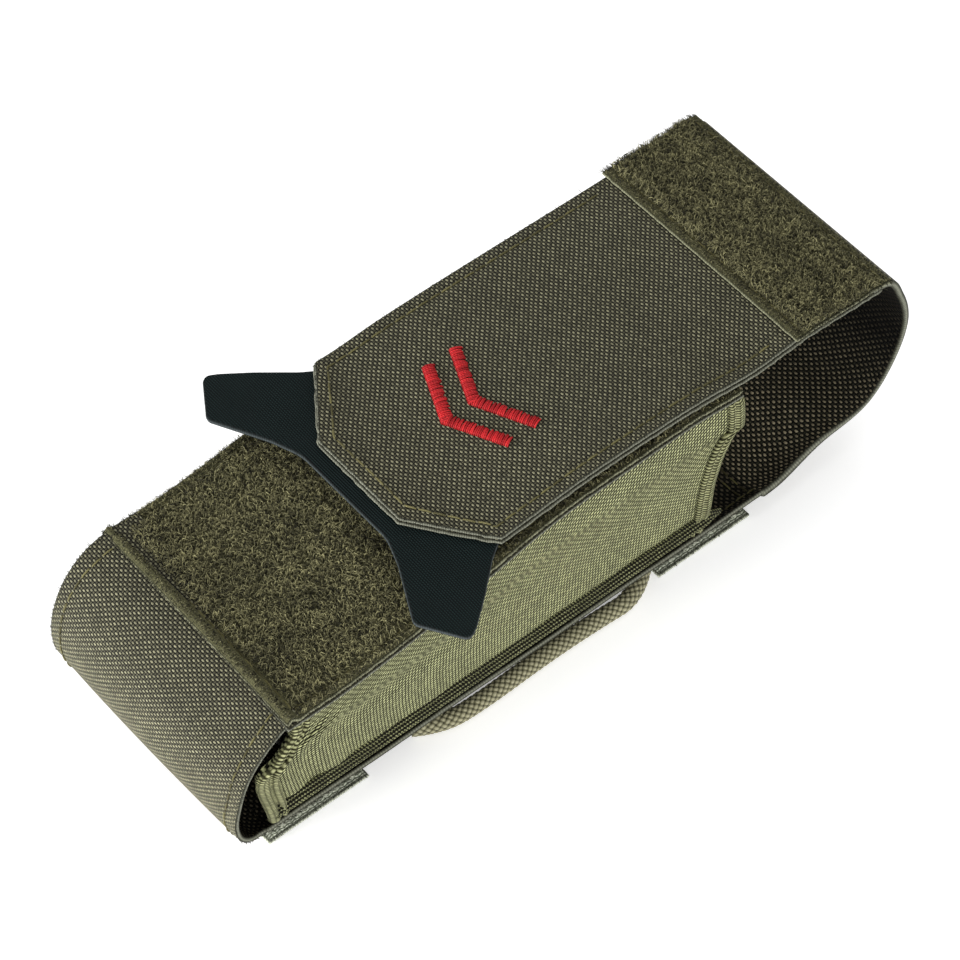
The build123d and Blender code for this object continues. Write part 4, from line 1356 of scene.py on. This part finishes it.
def add_fold_cloths():
    """The fold at the top as four lengths of one cloth, each lying round one hinge."""
    line, splits = fold_line()
    total = length_of(line)
    along = np.linspace(0, total, len(line))
    slope = unit(np.gradient(line, axis=0))
    inward = np.stack([-slope[:, 1], slope[:, 0]], axis=1) * FOLD_THICK / 2

    def place(x, s):
        """The inner face of the fold."""
        y = np.interp(s, along, line[:, 0] + inward[:, 0])
        z = np.interp(s, along, line[:, 1] + inward[:, 1])
        curl = 1 - ramp(s, 6.0, 30.0)
        new_x, rise = curled(x, curl)
        sag = 0.5 * np.sin(pi * np.clip(s / total, 0, 1)) * (x / HALF_CLOTH)
        return spots(new_x, y + sag, z + rise * (1 + 0.25 * curl))

    for number, name in enumerate(FOLD_JOINTS):
        start, end = along[splits[number]], along[splits[number + 1]]
        shape = Shape()
        u, v = flat_grid(selvage(-HALF_CLOTH, HALF_CLOTH, 60), np.linspace(start, end, 40))
        add_cloth(shape, place, u, v, FOLD_THICK, kinds=(REVERSE, FACE, EDGE), fray=0.1, seed=111)
        # Its ends meet the next lengths of cloth, so they aren't cut edges.
        columns, rows = u.shape[0] - 1, u.shape[1] - 1
        kinds = shape.kinds[0].copy()
        sides = kinds[:2 * columns * rows].reshape(2, columns, rows)
        sides[0, 1:-1, [0, -1]] = REVERSE
        sides[1, 1:-1, [0, -1]] = FACE
        shape.kinds[0] = kinds
        piece = shape.finish(f"fold_cloth_{number + 1}", "woven_nylon", FOLD_SET)
        middle = Vector((0, *hinge(name))) * MM
        at = int(np.linalg.norm(line - hinge(name), axis=1).argmin())
        way = Vector((0, *slope[at])) * FOLD_REACH * MM
        if number < 3:
            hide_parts(f"flap_fold_{number + 1}")
        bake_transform(piece)


# ---- pull tab ------------------------------------------------------------------------------
def rounded(corners):
    """An outline with rounded corners: each is (x, y, radius)."""
    line = []
    for (ax, ay, _), (x, y, radius), (bx, by, _) in zip(corners, corners[1:], corners[2:]):
        corner = np.array([x, y])
        back, ahead = unit(np.array([ax, ay]) - corner), unit(np.array([bx, by]) - corner)
        if radius == 0:
            line.append(corner)
            continue
        half = np.arccos(np.clip(back @ ahead, -1, 1)) / 2
        reach = radius / np.tan(half)
        centre = corner + unit(back + ahead) * radius / np.sin(half)
        first, last = corner + back * reach - centre, corner + ahead * reach - centre
        for share in np.linspace(0, 1, 9):
            line.append(centre + unit(first * (1 - share) + last * share) * radius)
    return np.array([corners[0][:2], *line, corners[-1][:2]])


def add_pull_tab():
    """The laminated tab: its root sewn under the flap, its lip with two horns."""
    tab_low, tab_high = box("pull_tab")
    _, root_high = box("tab_root")
    # The right half's lower edge out to the horn, and its upper edge back to the root.
    middle_y = tab_low.y + 8.7
    lower = rounded([(0, middle_y, 0), (13.5, middle_y, 12), (20.0, middle_y - 2.4, 12),
                     (32.7, tab_low.y - 0.2, 1.8), (42.2, -38.9, 1.6), (40.6, -36.2, 0)])
    upper = rounded([(40.6, -36.2, 0), (36.4, -30.8, 8), (30.2, -23.6, 6), (27.8, root_high.y, 1),
                     (20.0, root_high.y, 0)])
    edge = np.concatenate([lower, upper[1:]])
    tip = int(edge[:, 0].argmax())
    x_half = np.unique(np.concatenate([np.linspace(0, edge[tip, 0], 90), edge[:tip + 1, 0]]))
    low_half = np.interp(x_half, edge[:tip + 1, 0], edge[:tip + 1, 1])
    high_half = np.interp(x_half, edge[:tip - 1:-1, 0], edge[:tip - 1:-1, 1])
    x, low, high = both_sides(x_half, -1), both_sides(low_half), both_sides(high_half)
    t = selvage(0.0, 1.0, 44, 0.012)
    u = np.broadcast_to(x[:, None], (len(x), len(t)))
    v = low[:, None] + t * np.maximum(high - low, 0.02)[:, None]
    top = root_high.z - 0.1

    def place(x, y):
        droop = 0.5 * ((np.abs(x) - 24).clip(0) / 18) ** 2
        return spots(x, y, top - droop)

    shape = Shape()
    add_cloth(shape, place, u, v, tab_high.z - tab_low.z - 0.1, kinds=(FACE, FACE, EDGE), fray=0.03,
              seed=121)
    tab = shape.finish("tab_sheet", "tab_laminate", [TAB_FACE, TAB_FACE, TAB_EDGE])
    bend = hinge("tab_lift")[0] * MM
    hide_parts("tab_root", "pull_tab")
    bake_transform(tab)


# ---- tourniquet inside ---------------------------------------------------------------------
TURN_STEPS = 90             # points in each turn of the band
BAND_STEP = 1.2             # length of a face along the band


def racetrack(turns, first_radius, pitch):
    """A strip wound flat: (Y, Z) along turns of a ring with two straight sides."""
    low, high = box("tourniquet_band")
    middle_z = (low.z + high.z) / 2
    full = (high.z - low.z) / 2
    ends = low.y + full, high.y - full
    line = []
    for i in range(int(turns * TURN_STEPS)):
        # A turn has four quarters: along the top, round the far end, back, round the near end.
        quarter, share = divmod(4 * i / TURN_STEPS, 1)
        way = 1 if quarter % 4 < 2 else -1
        start, end = ends[::way]
        radius = way * (first_radius - pitch * i / TURN_STEPS)
        if quarter % 2 == 0:
            line.append((start + (end - start) * share, middle_z + radius))
        else:
            line.append((end + radius * sin(pi * share), middle_z + radius * cos(pi * share)))
    return evenly(line, int(length_of(np.array(line)) / BAND_STEP))


def add_band(name, node, turns, first_radius, thickness, seed):
    """Tourniquet band wound flat, as one strip of webbing."""
    low, high = box(node)
    line = racetrack(turns, first_radius, thickness + 0.15)
    total, line_at = follow(line)

    def place(x, s):
        return spots(x, *line_at(s))

    shape = Shape()
    u, v = flat_grid(selvage(low.x, high.x, 34, 0.6), np.linspace(0, total, len(line)))
    add_cloth(shape, place, u, v, thickness, kinds=(FACE, FACE, FACE), fray=0.05, seed=seed)
    for x in (low.x + 2.5, high.x - 2.5):
        add_stitches(shape, place, [(x, 2), (x, total - 2)], pitch=2.2)
    band = shape.finish(name, "tourniquet_webbing", [BLACK_WEBBING] * 3 + [PALE_WEBBING])
    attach(band, "tourniquet")
    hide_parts(node)


def add_time_strap():
    """The pale time strap over the clip, from the plate on one side to the other."""
    low, high = box("time_strap")
    corner = 2.0
    path = rounded([(low.x, low.z, 0), (low.x, high.z, corner), (high.x, high.z, corner),
                    (high.x, low.z, 0)])
    total, path_at = follow(evenly(path, 70))

    def place(s, y):
        x, z = path_at(s)
        return spots(x, y, z)

    shape = Shape()
    u, v = flat_grid(np.linspace(0, total, 70), selvage(low.y, high.y, 14))
    add_cloth(shape, place, u, v, 0.7, kinds=(FACE, FACE, FACE), seed=131)
    strap = shape.finish("time_strap_cloth", "pale_webbing", [PALE_WEBBING] * 4)
    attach(strap, "tourniquet")
    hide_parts("time_strap")


ROD_ROUNDING = 2.0          # at the ends of the windlass rod
GRIP_START = 16.0           # from its middle to the grip rings
GRIP_PITCH = 2.4
GRIP_DEPTH = 0.07           # of the rings, as a share of the radius


def add_windlass():
    """The windlass rod with its grip rings and the ribbon that it twists, round its middle."""
    low, high = box("windlass_rod")
    radius = (high.x - low.x) / 2
    middle = np.array([0.0, (low.y + high.y) / 2, (low.z + high.z) / 2])
    half = (high.y - low.y) / 2
    y = np.linspace(-half, half, 240)
    edge = (np.abs(y) - half + ROD_ROUNDING).clip(0) / ROD_ROUNDING
    edge = np.sqrt(np.clip(1 - edge**2, 0.02, 1))
    grip = (np.abs(y) > GRIP_START) & (np.abs(y) < half - 4)
    rings = GRIP_DEPTH * (np.sin(2 * pi * y / GRIP_PITCH) > 0.2)
    radii = radius * edge * (1 - np.where(grip, rings, 0))
    line = spots(0.0, y, 0.0) + middle
    shape = Shape()
    add_tubes(shape, line[None], radii, 32, FACE)
    rod = shape.finish("windlass", "windlass_plastic", [ROD_PLASTIC])
    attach(rod, "tourniquet")
    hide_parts("windlass_rod")

    low, high = box("windlass_ribbon")
    around = radius + 0.35
    path = rounded([(low.x, high.z, 0), (-around - 1.2, high.z + 0.2, 3),
                    (-around - 0.4, middle[2] + around, 4), (around + 0.4, middle[2] + around, 4),
                    (around + 1.2, high.z + 0.2, 3), (high.x, high.z, 0)])
    total, path_at = follow(evenly(path, 90))

    def place(s, y):
        narrow = 1 - 0.45 * ramp(total / 2 - np.abs(s - total / 2), 8, 16)
        x, z = path_at(s)
        return spots(x, middle[1] + (y - middle[1]) * narrow, z)

    shape = Shape()
    u, v = flat_grid(np.linspace(0, total, 90), selvage(low.y, high.y, 20))
    add_cloth(shape, place, u, v, 0.5, kinds=(FACE, FACE, FACE), seed=132)
    ribbon = shape.finish("windlass_ribbon_cloth", "tourniquet_webbing", [BLACK_WEBBING] * 3)
    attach(ribbon, "tourniquet")
    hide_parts("windlass_ribbon")


def dress_cad_parts():
    """The moulded parts keep their CAD shapes: softened edges and a plastic finish."""
    for name in ("tourniquet_base_plate", "windlass_clip", "tourniquet_buckle"):
        node = frame["nodes"][name]
        node.data.materials.clear()
        node.data.materials.append(BLACK_PLASTIC)
        bevel = node.modifiers.new("edges", "BEVEL")
        bevel.width = 0.4 * MM
        bevel.segments = 3
        bevel.limit_method = "ANGLE"


add_camera()
add_cord()
add_studio()
add_back_panel()
for side, sign in (("left", -1), ("right", 1)):
    add_back_hem(side)
    add_seam_rib(side, sign)
add_webbing("lower_webbing", "lower_strap", 13)
add_webbing("upper_webbing", "upper_strap", 16)
add_bottom_strap()
add_front_patch()
add_front_strip()
add_sleeve()
add_sleeve_hem("mouth_binding", "mouth_hem", 0.970, 1.005)
add_sleeve_hem("bottom_binding", "bottom_hem", 0.036, -0.006)
add_flap_cloths()
add_hook_patch()
add_flap_tape()
add_chevrons()
add_fold_cloths()
add_pull_tab()
add_band("band_outer_turns", "tourniquet_band", 2.2, 8.4, 1.35, 141)
add_band("band_inner_turns", "tourniquet_inner_fold", 1.95, 4.9, 1.35, 142)
add_time_strap()
add_windlass()
dress_cad_parts()
